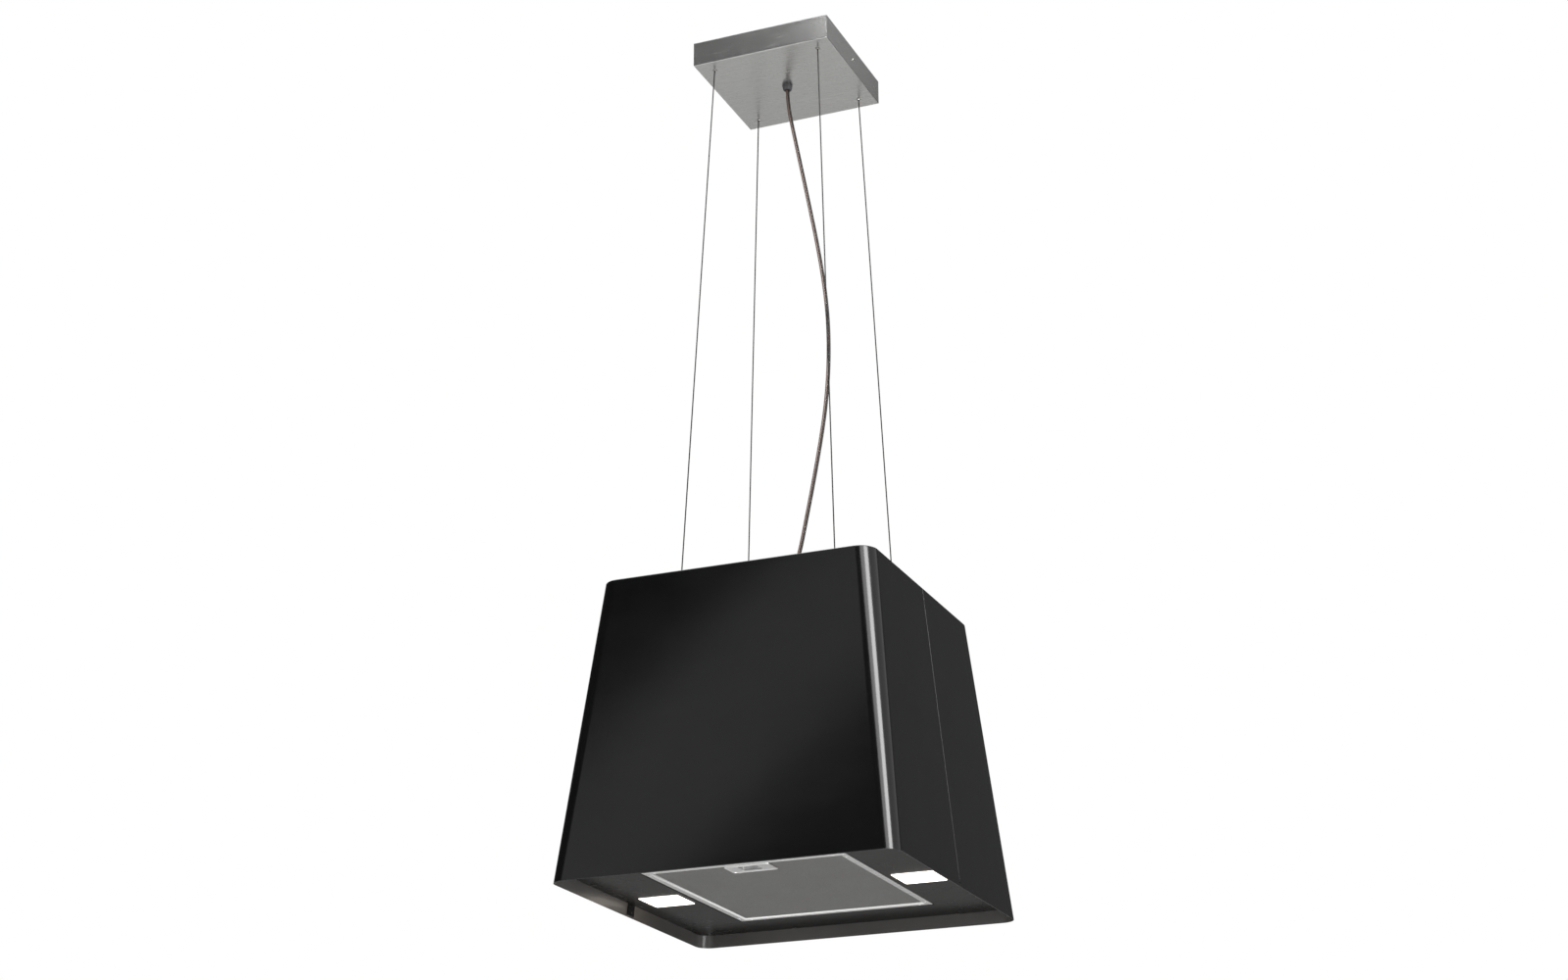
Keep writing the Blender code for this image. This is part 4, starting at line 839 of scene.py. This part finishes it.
def make_screws(nickel, black):
    """A screw in each side of the cover, and a black one under each seam."""
    head = 0.0013
    seam_screw_z = RIM_Z + 0.0065
    for name, side in SIDES.items():
        low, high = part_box("cover_screw_" + name)
        seat = Vector((side * (max(abs(low.x), abs(high.x)) - head), 0, (low.z + high.z) / 2))
        cover_screw = screw_shape(seat, (side, 0, 0), 0.0027, head, 0.0015, 0.0075)
        out = Vector((side * cos(WALL_LEAN), 0, sin(WALL_LEAN)))
        seat = Vector((side * half_width(seam_screw_z), 0, seam_screw_z)) + 0.0001 * out
        seam_screw = screw_shape(seat, out, 0.0024, 0.0008, 0.0012, 0.0055)
        for kind, slot, finish, (bm, recess) in (
            ("cover", "nickel", nickel, cover_screw),
            ("seam", "black_screw", black, seam_screw),
        ):
            node = kind + "_screw_" + name
            screw = add_piece(kind + "_pan_screw_" + name, bm, "hood", finish, [node])
            for bar in recess:
                combine(screw, bar)


# ---------------------------------------------------------------- the body

SEAM_TIGHT = 0.00015
SEAM_OPEN = 0.0005
SEAM_RAMP = 0.0006
GROOVE_LOW = RIM_Z + 0.025
GROOVE_HIGH = BODY_TOP_Z - 0.030
EDGE_SOFT = 0.0004
TOP_BEND = 0.0020
TOP_LIP = 0.008
CORNER_STEPS = 24


def seam_gap(z):
    """Half the gap between the shells at height z: a shadow groove, closed near both its ends."""
    if z <= GROOVE_LOW or z >= GROOVE_HIGH:
        return SEAM_TIGHT
    ramp = min((z - GROOVE_LOW) / SEAM_RAMP, (GROOVE_HIGH - z) / SEAM_RAMP, 1.0)
    return SEAM_TIGHT + ramp * (SEAM_OPEN - SEAM_TIGHT)


def shell_section():
    """The sheet's section from the rim to the top lip, as pairs of (inset, z), outside and inside."""
    pairs = []
    for n in range(4):
        angle = n / 3 * pi / 2
        low = EDGE_SOFT * (1 - cos(angle))
        side = EDGE_SOFT * (1 - sin(angle))
        pairs.append(((side, RIM_Z + low), (SHEET - side, RIM_Z + low)))
    from_end = (-0.004, 0.0, SEAM_RAMP, 0.005)
    levels = [GROOVE_LOW + up for up in from_end]
    levels.append((GROOVE_LOW + GROOVE_HIGH) / 2)
    levels += [GROOVE_HIGH - down for down in reversed(from_end)]
    pairs += [((0.0, z), (SHEET, z)) for z in levels]
    for n in range(7):
        angle = n / 6 * pi / 2
        inside = TOP_BEND - SHEET
        outer = (TOP_BEND * (1 - cos(angle)), BODY_TOP_Z - TOP_BEND * (1 - sin(angle)))
        inner = (TOP_BEND - inside * cos(angle), BODY_TOP_Z - TOP_BEND + inside * sin(angle))
        pairs.append((outer, inner))
    for n in range(4):
        angle = n / 3 * pi / 2
        inset = TOP_LIP - EDGE_SOFT + EDGE_SOFT * sin(angle)
        drop = EDGE_SOFT * (1 - cos(angle))
        pairs.append(((inset, BODY_TOP_Z - drop), (inset, BODY_TOP_Z - SHEET + drop)))
    return pairs


def make_shells(outside, inside):
    """Two pressed halves of a tapered rounded box, with soft edges along the seams and the rim."""
    section = shell_section()
    # Near a seam: how far behind the edge each column is, and how far its outside is rounded in.
    seam_columns = [(0.0, 0.0006), (0.00008, 0.0003), (0.0003, 0.00008), (0.0006, 0.0), (0.004, 0.0)]
    count = len(seam_columns)
    total = 2 * (count + CORNER_STEPS + 1)

    def place(column, inset, z):
        half = half_width(z)
        left = column >= total // 2
        index = total - 1 - column if left else column
        if index < count:
            back, _ = seam_columns[index]
            point = (half - inset, -seam_gap(z) - back)
        else:
            centre = half - corner_radius(z)
            radius = corner_radius(z) - inset
            angle = -(index - count) / CORNER_STEPS * pi / 2
            point = (centre + radius * cos(angle), -centre + radius * sin(angle))
        return (-point[0] if left else point[0], point[1], z)

    def extra(column):
        index = min(column, total - 1 - column)
        return seam_columns[index][1] if index < count else 0.0

    for name, turn in (("front", 0.0), ("rear", pi)):
        bm = bmesh.new()
        columns = []
        for column in range(total):
            more = extra(column)
            outer = [bm.verts.new(place(column, inset + more, z)) for (inset, z), _ in section]
            inner = [bm.verts.new(place(column, inset, z)) for _, (inset, z) in section]
            columns.append(outer + inner[::-1])
        for column, following in zip(columns, columns[1:]):
            bridge(bm, column, following)
        for column in (columns[0], columns[-1]):
            for n in range(len(section) - 1):
                far = len(column) - 1 - n
                bm.faces.new((column[n], column[n + 1], column[far - 1], column[far]))
        bm.transform(Matrix.Rotation(turn, 4, "Z"))
        shell = add_piece("shell_" + name, bm, "hood", outside, [name + "_shell"], 40)
        # The inner faces take the second finish, whose lighter colour is painted light on the inner
        # walls.
        shell.data.materials.append(inside)
        for face in shell.data.polygons:
            inward = face.normal.x * face.center.x + face.normal.y * face.center.y < 0
            face.material_index = 1 if inward and face.center.z < BODY_TOP_Z - SHEET / 2 else 0
        weigh_normals(shell)


def make_top_plate(finish):
    """The pressed top with its rounded air slots."""
    bottom_z, top_z = PLATE_LOW.z, PLATE_HIGH.z
    cut_low, cut_high = bottom_z - 0.002, top_z + 0.002

    def outline(inset):
        half = half_width(top_z) - SHEET - GAP - inset
        return rounded_outline(half, half, corner_radius(top_z) - SHEET, 12)

    bm = stack(outline, soft_levels(bottom_z, top_z, 0.0003, 2))
    top = add_piece("top_grille", bm, "hood", finish, ["top_plate"])
    tool = rod((0, 0, cut_low), (0, 0, cut_high), 0.0062)
    for corner in CORNERS:
        low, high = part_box("wire_anchor_" + corner)
        x, y = (low.x + high.x) / 2, (low.y + high.y) / 2
        merge(tool, rod((x, y, cut_low), (x, y, cut_high), 0.0026, 24))
    rows, pitch, width = 11, 0.019, 0.008
    start, length = 0.045, 0.120
    almost_round = width / 2 - 0.0001
    for row in range(rows):
        y = (row - (rows - 1) / 2) * pitch
        for side in SIDES.values():
            centre = (side * (start + length / 2), y)
            slot = slab(length / 2, width / 2, cut_low, cut_high, almost_round, 0.0001, centre, 8)
            merge(tool, slot)
    combine(top, tool)
    modifier = top.modifiers.new("edges", "BEVEL")
    modifier.width = 0.00025
    modifier.segments = 2
    modifier.angle_limit = radians(50)
    weigh_normals(top)


# ---------------------------------------------------------------- the lamps

def make_lamp_lenses(finish):
    """Opal lenses with round corners and a softly crowned face."""
    half_x, half_y = 0.0305, 0.031
    crown = [(0.0022, 0.0), (0.0010, 0.00008), (0.0004, 0.00025), (0.0, 0.0007)]
    flange = -0.0012

    def outline(inset):
        corner = max(0.0022 - inset * 0.3, 0.0006)
        return rounded_outline(half_x - inset, half_y - inset, corner, 8)

    for name in SIDES:
        low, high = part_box("lamp_lens_" + name)
        housing_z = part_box("lamp_housing_" + name)[0].z
        centre = ((low.x + high.x) / 2, (low.y + high.y) / 2)
        levels = [(inset, low.z + up) for inset, up in crown]
        levels += [(0.0, housing_z), (flange, housing_z + 0.0001), (flange, high.z)]
        bm = stack(outline, levels, centre)
        add_piece("lens_" + name, bm, "hood", finish, ["lamp_lens_" + name])


# ---------------------------------------------------------------- the grease filter

FILTER_LOW, FILTER_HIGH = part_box("filter_frame")
FILTER_Z = FILTER_LOW.z
FILTER_HALF_X = FILTER_HIGH.x
FILTER_HALF_Y = -FILTER_LOW.y


def make_filter_frame(finish):
    """A folded aluminium channel: flat flange, turned-in inner lip, mitred corners, tabs behind."""
    depth = FILTER_HIGH.z - FILTER_Z
    section = [  # (inset from the outline, height over the flange)
        (0.0010, 0.0084),
        (0.0010, 0.0014),
        (0.0014, 0.0010),
        (0.0092, 0.0010),
        (0.0106, 0.0022),
        (0.0116, 0.0022),
        (0.0118, 0.0019),
        (0.0116, 0.0016),
        (0.0110, 0.0015),
        (0.0098, 0.0004),
        (0.0092, 0.0001),
        (0.0085, 0.0),
        (0.0009, 0.0),
        (0.0003, 0.0003),
        (0.0, 0.0009),
        (0.0, depth - 0.0009),
        (0.0003, depth - 0.0003),
        (0.0009, depth),
        (0.0116, depth),
        (0.0119, depth - 0.0003),
        (0.0119, depth - 0.0007),
        (0.0116, depth - 0.0010),
        (0.0014, depth - 0.0010),
    ]
    bm = bmesh.new()
    rows = []
    for side_x, side_y in ((1, -1), (1, 1), (-1, 1), (-1, -1)):
        row = []
        for inset, up in section:
            x, y = side_x * (FILTER_HALF_X - inset), side_y * (FILTER_HALF_Y - inset)
            row.append(bm.verts.new((x, y, FILTER_Z + up)))
        rows.append(row)
    for row, following in zip(rows, rows[1:] + rows[:1]):
        bridge(bm, row, following)
    channel = add_piece("filter_channel", bm, "filter", finish, ["filter_frame"])
    tab_low, tab_high = FILTER_Z + 0.0013, FILTER_Z + 0.0023
    tab_at, tab_out = 0.100, 0.0020
    for side in SIDES.values():
        centre = (side * tab_at, FILTER_HALF_Y + tab_out)
        combine(channel, slab(0.010, 0.0045, tab_low, tab_high, 0.002, 0.0003, centre), "UNION")
    slot_half, slot_low, slot_high = 0.0124, FILTER_Z + 0.0023, FILTER_Z + 0.0040
    front, back = -FILTER_HALF_Y - 0.001, -FILTER_HALF_Y + 0.0013
    combine(channel, block(-slot_half, slot_half, front, back, slot_low, slot_high))
    groove, groove_depth, groove_length = 0.00012, 0.00025, 0.0185
    mitres = bmesh.new()
    for side_x, side_y in CORNERS.values():
        floor = FILTER_Z + groove_depth
        cut = block(-groove, groove, -groove_length, 0.0006, FILTER_Z - 0.001, floor)
        cut.transform(Matrix.Rotation(atan2(side_y, side_x) - pi / 2, 4, "Z"))
        cut.transform(Matrix.Translation((side_x * FILTER_HALF_X, side_y * FILTER_HALF_Y, 0)))
        merge(mitres, cut)
    combine(channel, mitres)
    dimple = [(0, -0.0006), (0.0022, -0.0006), (0.0020, 0.0001), (0.0012, 0.00035), (0, 0.00045)]
    dimples = bmesh.new()
    for side_x, side_y in CORNERS.values():
        for along_x, along_y in ((0.0185, 0.0050), (0.0050, 0.0185)):
            x, y = side_x * (FILTER_HALF_X - along_x), side_y * (FILTER_HALF_Y - along_y)
            merge(dimples, turned(dimple, 24, (x, y, FILTER_Z)))
    combine(channel, dimples)
    weigh_normals(channel)


def expanded_grid(z, half_x, front, rear, bay=None):
    """Stretched metal: crossing strands round diamond openings, each strand a little tilted."""
    long_way, short_way = 0.0060, 0.0034
    width, thickness, twist = 0.00030, 0.00022, 0.00016
    columns = int(2 * half_x / (long_way / 2))
    rows = int((rear - front) / (short_way / 2))
    points = []
    faces = []
    slope = atan2(short_way, long_way)
    for i in range(columns):
        for j in range(rows):
            rising = (i + j) % 2 == 0
            x0 = -half_x + i * long_way / 2
            x1 = x0 + long_way / 2
            y0 = front + (j + (0 if rising else 1)) * short_way / 2
            y1 = front + (j + (1 if rising else 0)) * short_way / 2
            if bay and abs((x0 + x1) / 2) < bay[0] and (y0 + y1) / 2 < bay[1]:
                continue
            side = 1 if rising else -1
            across = Vector((-side * sin(slope), cos(slope), 0)) * width
            tilt = twist * side
            first = len(points)
            for x, y in ((x0, y0), (x1, y1)):
                for reach, up in ((-1, -1), (1, -1), (1, 1), (-1, 1)):
                    height = z + up * thickness + reach * tilt
                    points.append((x + reach * across.x, y + reach * across.y, height))
            for n in range(4):
                m = (n + 1) % 4
                faces.append((first + n, first + m, first + 4 + m, first + 4 + n))
    mesh = bpy.data.meshes.new("expanded")
    mesh.from_pydata(points, [], faces)
    bm = bmesh.new()
    bm.from_mesh(mesh)
    bpy.data.meshes.remove(mesh)
    return bm


def make_filter_mesh(grid_finish, wool_finish):
    """Two stretched grids with crumpled foil between them, clear of the latch's bay."""
    low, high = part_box("filter_mesh")
    bay = (0.0345, -0.1207)  # half its width, and its rear edge
    edge = 0.0006
    for name, z, nodes in (("lower", low.z + 0.0007, ["filter_mesh"]), ("upper", high.z - edge, [])):
        bm = expanded_grid(z, high.x - edge, low.y + edge, high.y - edge, bay)
        add_piece("filter_grid_" + name, bm, "filter", grid_finish, nodes)

    count_x, count_y = 74, 86
    crease = 0.0006
    core_low, core_high = low.z + 0.0016, high.z - 0.0014
    inset = 0.001
    bm = bmesh.new()

    def crumple(x, y, level):
        wave = crease * sin(x * 1250 + 0.8 * sin(y * 310)) * cos(y * 1130 + 0.9 * sin(x * 270))
        return level + wave

    rings = []
    for level in (core_low + crease, core_high - crease):
        grid = []
        for j in range(count_y + 1):
            y = low.y + inset + (high.y - low.y - 2 * inset) * j / count_y
            row = []
            for i in range(count_x + 1):
                x = low.x + inset + (high.x - low.x - 2 * inset) * i / count_x
                row.append(bm.verts.new((x, y, crumple(x, y, level))))
            grid.append(row)
        rings.append(grid)
    for number, grid in enumerate(rings):
        for j in range(count_y):
            for i in range(count_x):
                around = (grid[j][i], grid[j][i + 1], grid[j + 1][i + 1], grid[j + 1][i])
                bm.faces.new(around if number else around[::-1])
    lower, upper = rings

    def border(grid):
        path = [grid[0][i] for i in range(count_x)]
        path += [grid[j][count_x] for j in range(count_y)]
        path += [grid[count_y][i] for i in range(count_x, 0, -1)]
        path += [grid[j][0] for j in range(count_y, 0, -1)]
        return path

    bridge(bm, border(lower), border(upper))
    core = add_piece("filter_foil_core", bm, "filter", wool_finish, (), 180)
    combine(core, block(-bay[0], bay[0], low.y - 0.002, bay[1], low.z - 0.002, high.z + 0.002))


def make_latch(plate_finish, slider_finish, spring_finish):
    """A raised bezel round a D-shaped finger cup, on a plate let into the filter."""
    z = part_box("latch_plate")[0].z

    def part(half_x, front, rear, low, high, corner, edge, steps=6):
        """A slab between two places along Y and two heights over the flange."""
        half_y, centre = (rear - front) / 2, (0, (front + rear) / 2)
        return slab(half_x, half_y, z + low, z + high, corner, edge, centre, steps)

    front, rear, border = -0.1587, -0.121, 0.0025
    bezel = part(0.033, front, rear, 0.0, 0.0015, 0.0042, 0.00045, 10)
    plate = add_piece("latch_bezel", bezel, "filter", plate_finish, ["latch_plate"])
    trough = part(0.0305, front + border, rear - border, -0.001, 0.00045, 0.0028, 0.00025, 10)
    combine(plate, trough)
    ledge = part(0.0325, -0.168, -0.1544, 0.0013, 0.0021, 0.0010, 0.0002)
    combine(plate, ledge, "UNION")
    upstand = part(0.022, -0.1225, -0.121, 0.0005, 0.0075, 0.0005, 0.0002)
    combine(plate, upstand, "UNION")
    window = part(0.0143, -0.1543, -0.1307, -0.001, 0.0026, 0.0030, 0.0002, 10)
    combine(plate, window)
    weigh_normals(plate)

    cup_front, cup_rear, wall = -0.154, -0.137, 0.0011
    cup = part(0.014, cup_front, cup_rear, 0.0003, 0.0076, 0.0024, 0.0004, 10)
    body = add_piece("latch_cup", cup, "latch", slider_finish, ["latch_slider"])
    flat = part(0.022, -0.168, -0.129, 0.0024, 0.0036, 0.0015, 0.0002)
    combine(body, flat, "UNION")
    tongue = part(0.012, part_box("latch_slider")[0].y, -0.160, 0.0024, 0.0036, 0.0012, 0.0003)
    combine(body, tongue, "UNION")
    pocket = bmesh.new()
    half, squareness, steps = 0.0127, 0.55, 20
    rows = []
    for inset, up in ((0.0, -0.0008), (0.0, 0.0040), (0.0004, 0.0058), (0.0014, 0.0066)):
        row = []
        straight = cup_front + wall + inset
        depth = cup_rear - wall - inset - straight
        for n in range(steps + 1):
            angle = pi * n / steps
            x = (half - inset) * cos(angle)
            y = straight + depth * sin(angle) ** squareness
            row.append(pocket.verts.new((x, y, z + up)))
        rows.append(row)
    pocket.faces.new(rows[0])
    pocket.faces.new(rows[-1])
    for row, following in zip(rows, rows[1:]):
        bridge(pocket, row, following)
    combine(body, pocket)
    weigh_normals(body)

    start, end = cup_rear + GAP, -0.1225 - GAP
    turns, wire, radius, middle_z = 6, 0.00022, 0.00135, z + 0.0056
    steps = 40 * turns
    path = []
    for n in range(steps + 1):
        angle = 2 * pi * turns * n / steps
        along = start + wire + (end - start - 2 * wire) * n / steps
        path.append(Vector((radius * cos(angle), along, middle_z + radius * sin(angle))))
    bm = tube(path, wire, 10)
    spring = add_piece("latch_coil", bm, "filter", spring_finish, ["latch_spring"], 180)
    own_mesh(spring)


# ---------------------------------------------------------------- the parts that stay as CAD made them

def dress(node, finish, edge):
    """Gives a CAD node its finish, and softens its edges without touching its mesh."""
    smooth = 40.0
    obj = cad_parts[node]
    obj.data.materials.clear()
    obj.data.materials.append(finish)
    obj.data.shade_smooth()
    obj.data.set_sharp_from_angle(angle=radians(smooth))
    if edge:
        modifier = obj.modifiers.new("edges", "BEVEL")
        modifier.width = edge
        modifier.segments = 2
        modifier.limit_method = "ANGLE"
        modifier.angle_limit = radians(smooth)
        modifier.harden_normals = True


# ---------------------------------------------------------------- the studio

FLOOR_Z = -2.95


def make_floor():
    """A wide pale floor, seen only from above."""
    bpy.ops.mesh.primitive_plane_add(size=24, location=(0, 0, FLOOR_Z))
    floor = bpy.context.object
    floor.name = "floor"
    finish = Finish("pale_floor", 0.6)
    finish.colour(finish.blend(finish.noise(3, 5), (0.80, 0.80, 0.79), (0.84, 0.84, 0.83)))
    finish.bump(finish.noise(60, 4), 0.0004)
    seen = finish.node("ShaderNodeLightPath").outputs["Is Camera Ray"]
    finish.shader.inputs["Emission Color"].default_value = (0.84, 0.84, 0.83, 1.0)
    finish.put(finish.shader, "Emission Strength", finish.maths("MULTIPLY", seen, 0.62))
    clear = finish.node("ShaderNodeBsdfTransparent")
    mix = finish.node("ShaderNodeMixShader")
    finish.put(mix, 0, finish.node("ShaderNodeNewGeometry").outputs["Backfacing"])
    finish.put(mix, 1, finish.shader.outputs["BSDF"])
    finish.put(mix, 2, clear.outputs["BSDF"])
    output = finish.tree.nodes["Material Output"]
    finish.put(output, "Surface", mix.outputs["Shader"])
    floor.data.materials.append(finish.material)


def make_world(ambient, backdrop):
    """White behind the hood, and a dim even room for everything that it lights."""
    world = bpy.data.worlds.new("studio")
    bpy.context.scene.world = world
    world.use_nodes = True
    tree = world.node_tree
    room = tree.nodes["Background"]
    room.inputs["Color"].default_value = (1, 1, 1, 1)
    room.inputs["Strength"].default_value = ambient
    behind = tree.nodes.new("ShaderNodeBackground")
    behind.inputs["Color"].default_value = (1, 1, 1, 1)
    behind.inputs["Strength"].default_value = backdrop
    seen = tree.nodes.new("ShaderNodeLightPath")
    mix = tree.nodes.new("ShaderNodeMixShader")
    tree.links.new(seen.outputs["Is Camera Ray"], mix.inputs[0])
    tree.links.new(room.outputs[0], mix.inputs[1])
    tree.links.new(behind.outputs[0], mix.inputs[2])
    tree.links.new(mix.outputs[0], tree.nodes["World Output"].inputs["Surface"])


def softbox(name, place, target, width, height, radiance):
    """A rectangular light of a given brightness that faces a target."""
    data = bpy.data.lights.new(name, "AREA")
    data.shape = "RECTANGLE"
    data.size = width
    data.size_y = height
    data.energy = radiance * pi * width * height
    light = link(bpy.data.objects.new(name, data))
    aim = (Vector(target) - Vector(place)).to_track_quat("-Z", "Y").to_matrix().to_4x4()
    light.matrix_world = Matrix.Translation(place) @ aim
    light.visible_camera = False
    return light


def mirrored(point, normal, distance):
    """What a camera ray sees in a flat glossy face, at a distance along the reflection."""
    ray = (Vector(point) - Vector(CAMERA_PLACE)).normalized()
    return Vector(point) + distance * ray.reflect(Vector(normal))


def make_lights():
    """Soft boxes: one over the floor, and others where the paint mirrors them to the camera."""
    body = Vector((0, 0, (RIM_Z + BODY_TOP_Z) / 2))
    softbox("top", (0, 0.5, 3.6), (0, 0.5, FLOOR_Z), 7.0, 7.0, 2.5)
    for name, place, wide, high, power in (
        ("corner_core", (3.78, -2.53, 1.52), 1.9, 2.6, 8.0),
        ("corner_halo", (3.20, -3.10, 1.80), 4.0, 4.4, 3.0),
    ):
        light = softbox(name, place, body, wide, high, power)
        light.data.shape = "ELLIPSE"
    softbox("corner_fade", (2.54, 0.40, 0.15), body, 3.6, 1.8, 0.75)
    softbox("rear_left", (-1.9, 2.9, 0.5), body, 2.4, 2.2, 1.0)
    softbox("cover_front", (0.02, -1.35, 0.80), (0, 0, 0), 0.5, 0.45, 14.0)
    softbox("mesh", (0.20, -0.80, -1.85), (0, -0.1, PANEL_Z), 0.4, 0.4, 11.0)
    softbox("inside", (2.4, -0.95, -1.62), (-0.2, 0.2, RIM_Z), 0.6, 0.4, 26.0)
    softbox("right_rear", (1.8, 3.2, 0.3), body, 4.0, 4.4, 0.075)
    softbox("cover_side", (0.75, 1.15, 0.80), (0.1, 0, 0), 0.5, 0.5, 0.25)
    softbox("low_front", (-1.5, -3.0, -1.0), body, 3.0, 1.3, 0.8)
    # The band's two ends are where the front mirrors it near its lower left and upper right.
    front = Vector((0, -cos(WALL_LEAN), sin(WALL_LEAN)))
    distance = 1.3
    low_left = mirrored((-0.215, -RIM_HALF, RIM_Z + 0.01), front, distance)
    high_right = mirrored((0.205, -half_width(BODY_TOP_Z), BODY_TOP_Z - 0.05), front, distance)
    middle = (low_left + high_right) / 2
    run = high_right - low_left
    light = softbox("band", middle, body, 1.6 * run.length, 0.30, 0.52)
    away = (middle - body).normalized()
    run = (run - away * run.dot(away)).normalized()
    axes = Matrix((run, away.cross(run), away)).transposed().to_4x4()
    light.matrix_world = Matrix.Translation(middle) @ axes
    for name in SIDES:
        low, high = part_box("lamp_lens_" + name)
        middle = (low + high) / 2
        data = bpy.data.lights.new("lamp_" + name, "POINT")
        data.energy = 0.15
        data.color = (1.0, 0.78, 0.56)
        data.shadow_soft_size = 0.018
        light = link(bpy.data.objects.new("lamp_" + name, data))
        light.location = (middle.x, middle.y, low.z - 0.020)
        light.visible_camera = False
        light.visible_glossy = False


# ---------------------------------------------------------------- everything together

def main():
    make_camera()
    make_power_cord()
    dark, light = (0.0020, 0.0020, 0.0021), (0.0030, 0.0030, 0.0032)
    black = paint("black_powder_coat", dark, light, 0.16, 1500, 0.000006)
    # The shells' inner faces are the same black paint as the outside, coloured over ten times lighter:
    # painted light on the inner walls.
    dark, light = (0.034, 0.033, 0.032), (0.044, 0.043, 0.042)
    inside = paint("inside_paint_painted_lighter", dark, light, 0.30, 1500, 0.00001, gloss=0.4)
    dark, light = (0.0036, 0.0034, 0.0032), (0.0050, 0.0047, 0.0044)
    panel = paint("panel_powder_coat", dark, light, 0.26, 1300, 0.00002, gloss=0.10)
    steel_y = brushed("brushed_steel_front", (0.62, 0.62, 0.61), 0.24, "X", "X", 0.6, depth=0.000001)
    steel_x = brushed("brushed_steel_side", (0.62, 0.62, 0.61), 0.24, "Y", "Y", 0.6, depth=0.000001)
    steel_z = brushed("brushed_steel_underside", (0.66, 0.66, 0.65), 0.27, "X", "X", 0.45)
    zinc = galvanised("zinc_plate")
    nickel = turned_metal("nickel_plate", (0.58, 0.57, 0.54), 0.22)
    rope = rope_metal("steel_rope")
    black_metal = turned_metal("blackened_steel", (0.045, 0.045, 0.047), 0.32)
    gland = plastic("gland_polyamide", (0.060, 0.060, 0.064), (0.085, 0.085, 0.09), 0.45)
    rubber = plastic("seal_rubber", (0.018, 0.018, 0.018), (0.028, 0.028, 0.028), 0.65)
    white = plastic("white_plastic", (0.66, 0.66, 0.64), (0.74, 0.74, 0.72), 0.42)
    aluminium = brushed("filter_aluminium", (0.92, 0.92, 0.915), 0.26, "X", None, 0.0, 900, 0.000006)
    grid = mesh_metal("stretched_aluminium")
    wool = wool_metal("aluminium_foil_layers")
    charcoal = carbon("charcoal_granules")
    blower = plastic("blower_plastic", (0.030, 0.030, 0.033), (0.048, 0.048, 0.052), 0.5)
    wheel = plastic("impeller_plastic", (0.075, 0.075, 0.082), (0.11, 0.11, 0.12), 0.46)
    motor = brushed("motor_steel", (0.36, 0.36, 0.37), 0.42, "X", None, 0.0, 500, 0.00001)
    can = brushed("capacitor_aluminium", (0.74, 0.74, 0.74), 0.34, "X", None, 0.0, 700, 0.000006)
    board = board_finish("lamp_board_finish")
    lens = lamp_glow("opal_lens", 1.7)

    make_glands(gland, rubber)
    make_wires(rope)
    make_ceiling_cover(steel_x, steel_y, steel_z)
    make_screws(nickel, black_metal)
    make_shells(black, inside)
    make_top_plate(panel)
    make_lamp_lenses(lens)
    make_filter_frame(aluminium)
    make_filter_mesh(grid, wool)
    cup = brushed("cup_aluminium", (0.52, 0.52, 0.52), 0.42, "X", None, 0.0, 900, 0.000006)
    make_latch(aluminium, cup, nickel)

    rest = {
        "ceiling_bracket": (zinc, 0.0003),
        "terminal_block": (white, 0.0004),
        "bottom_panel": (panel, 0.0003),
        "duct_plate": (zinc, 0.0),
        "charcoal_filter": (charcoal, 0.0008),
        "blower_housing_left": (blower, 0.0004),
        "blower_housing_right": (blower, 0.0004),
        "impeller": (wheel, 0.0),
        "motor": (motor, 0.0),
        "motor_shaft": (nickel, 0.0),
        "motor_bracket": (zinc, 0.0003),
        "motor_capacitor": (can, 0.0),
        "control_box": (gland, 0.0005),
        "led_driver": (white, 0.0005),
    }
    for name in SIDES:
        rest["seam_strip_" + name] = (black, 0.0002)
        rest["lamp_housing_" + name] = (zinc, 0.0003)
        rest["lamp_board_" + name] = (board, 0.0002)
    for name in CORNERS:
        rest["wire_gripper_" + name] = (nickel, 0.0)
        rest["wire_anchor_" + name] = (nickel, 0.0)
        rest["anchor_nut_" + name] = (zinc, 0.0002)
        rest["frame_post_" + name] = (zinc, 0.0003)
    for node, (finish, edge) in rest.items():
        dress(node, finish, edge)

    make_floor()
    make_world(0.04, 1.0)
    make_lights()
    scene = bpy.context.scene
    scene.view_settings.view_transform = "Standard"
    scene.view_settings.look = "None"


main()
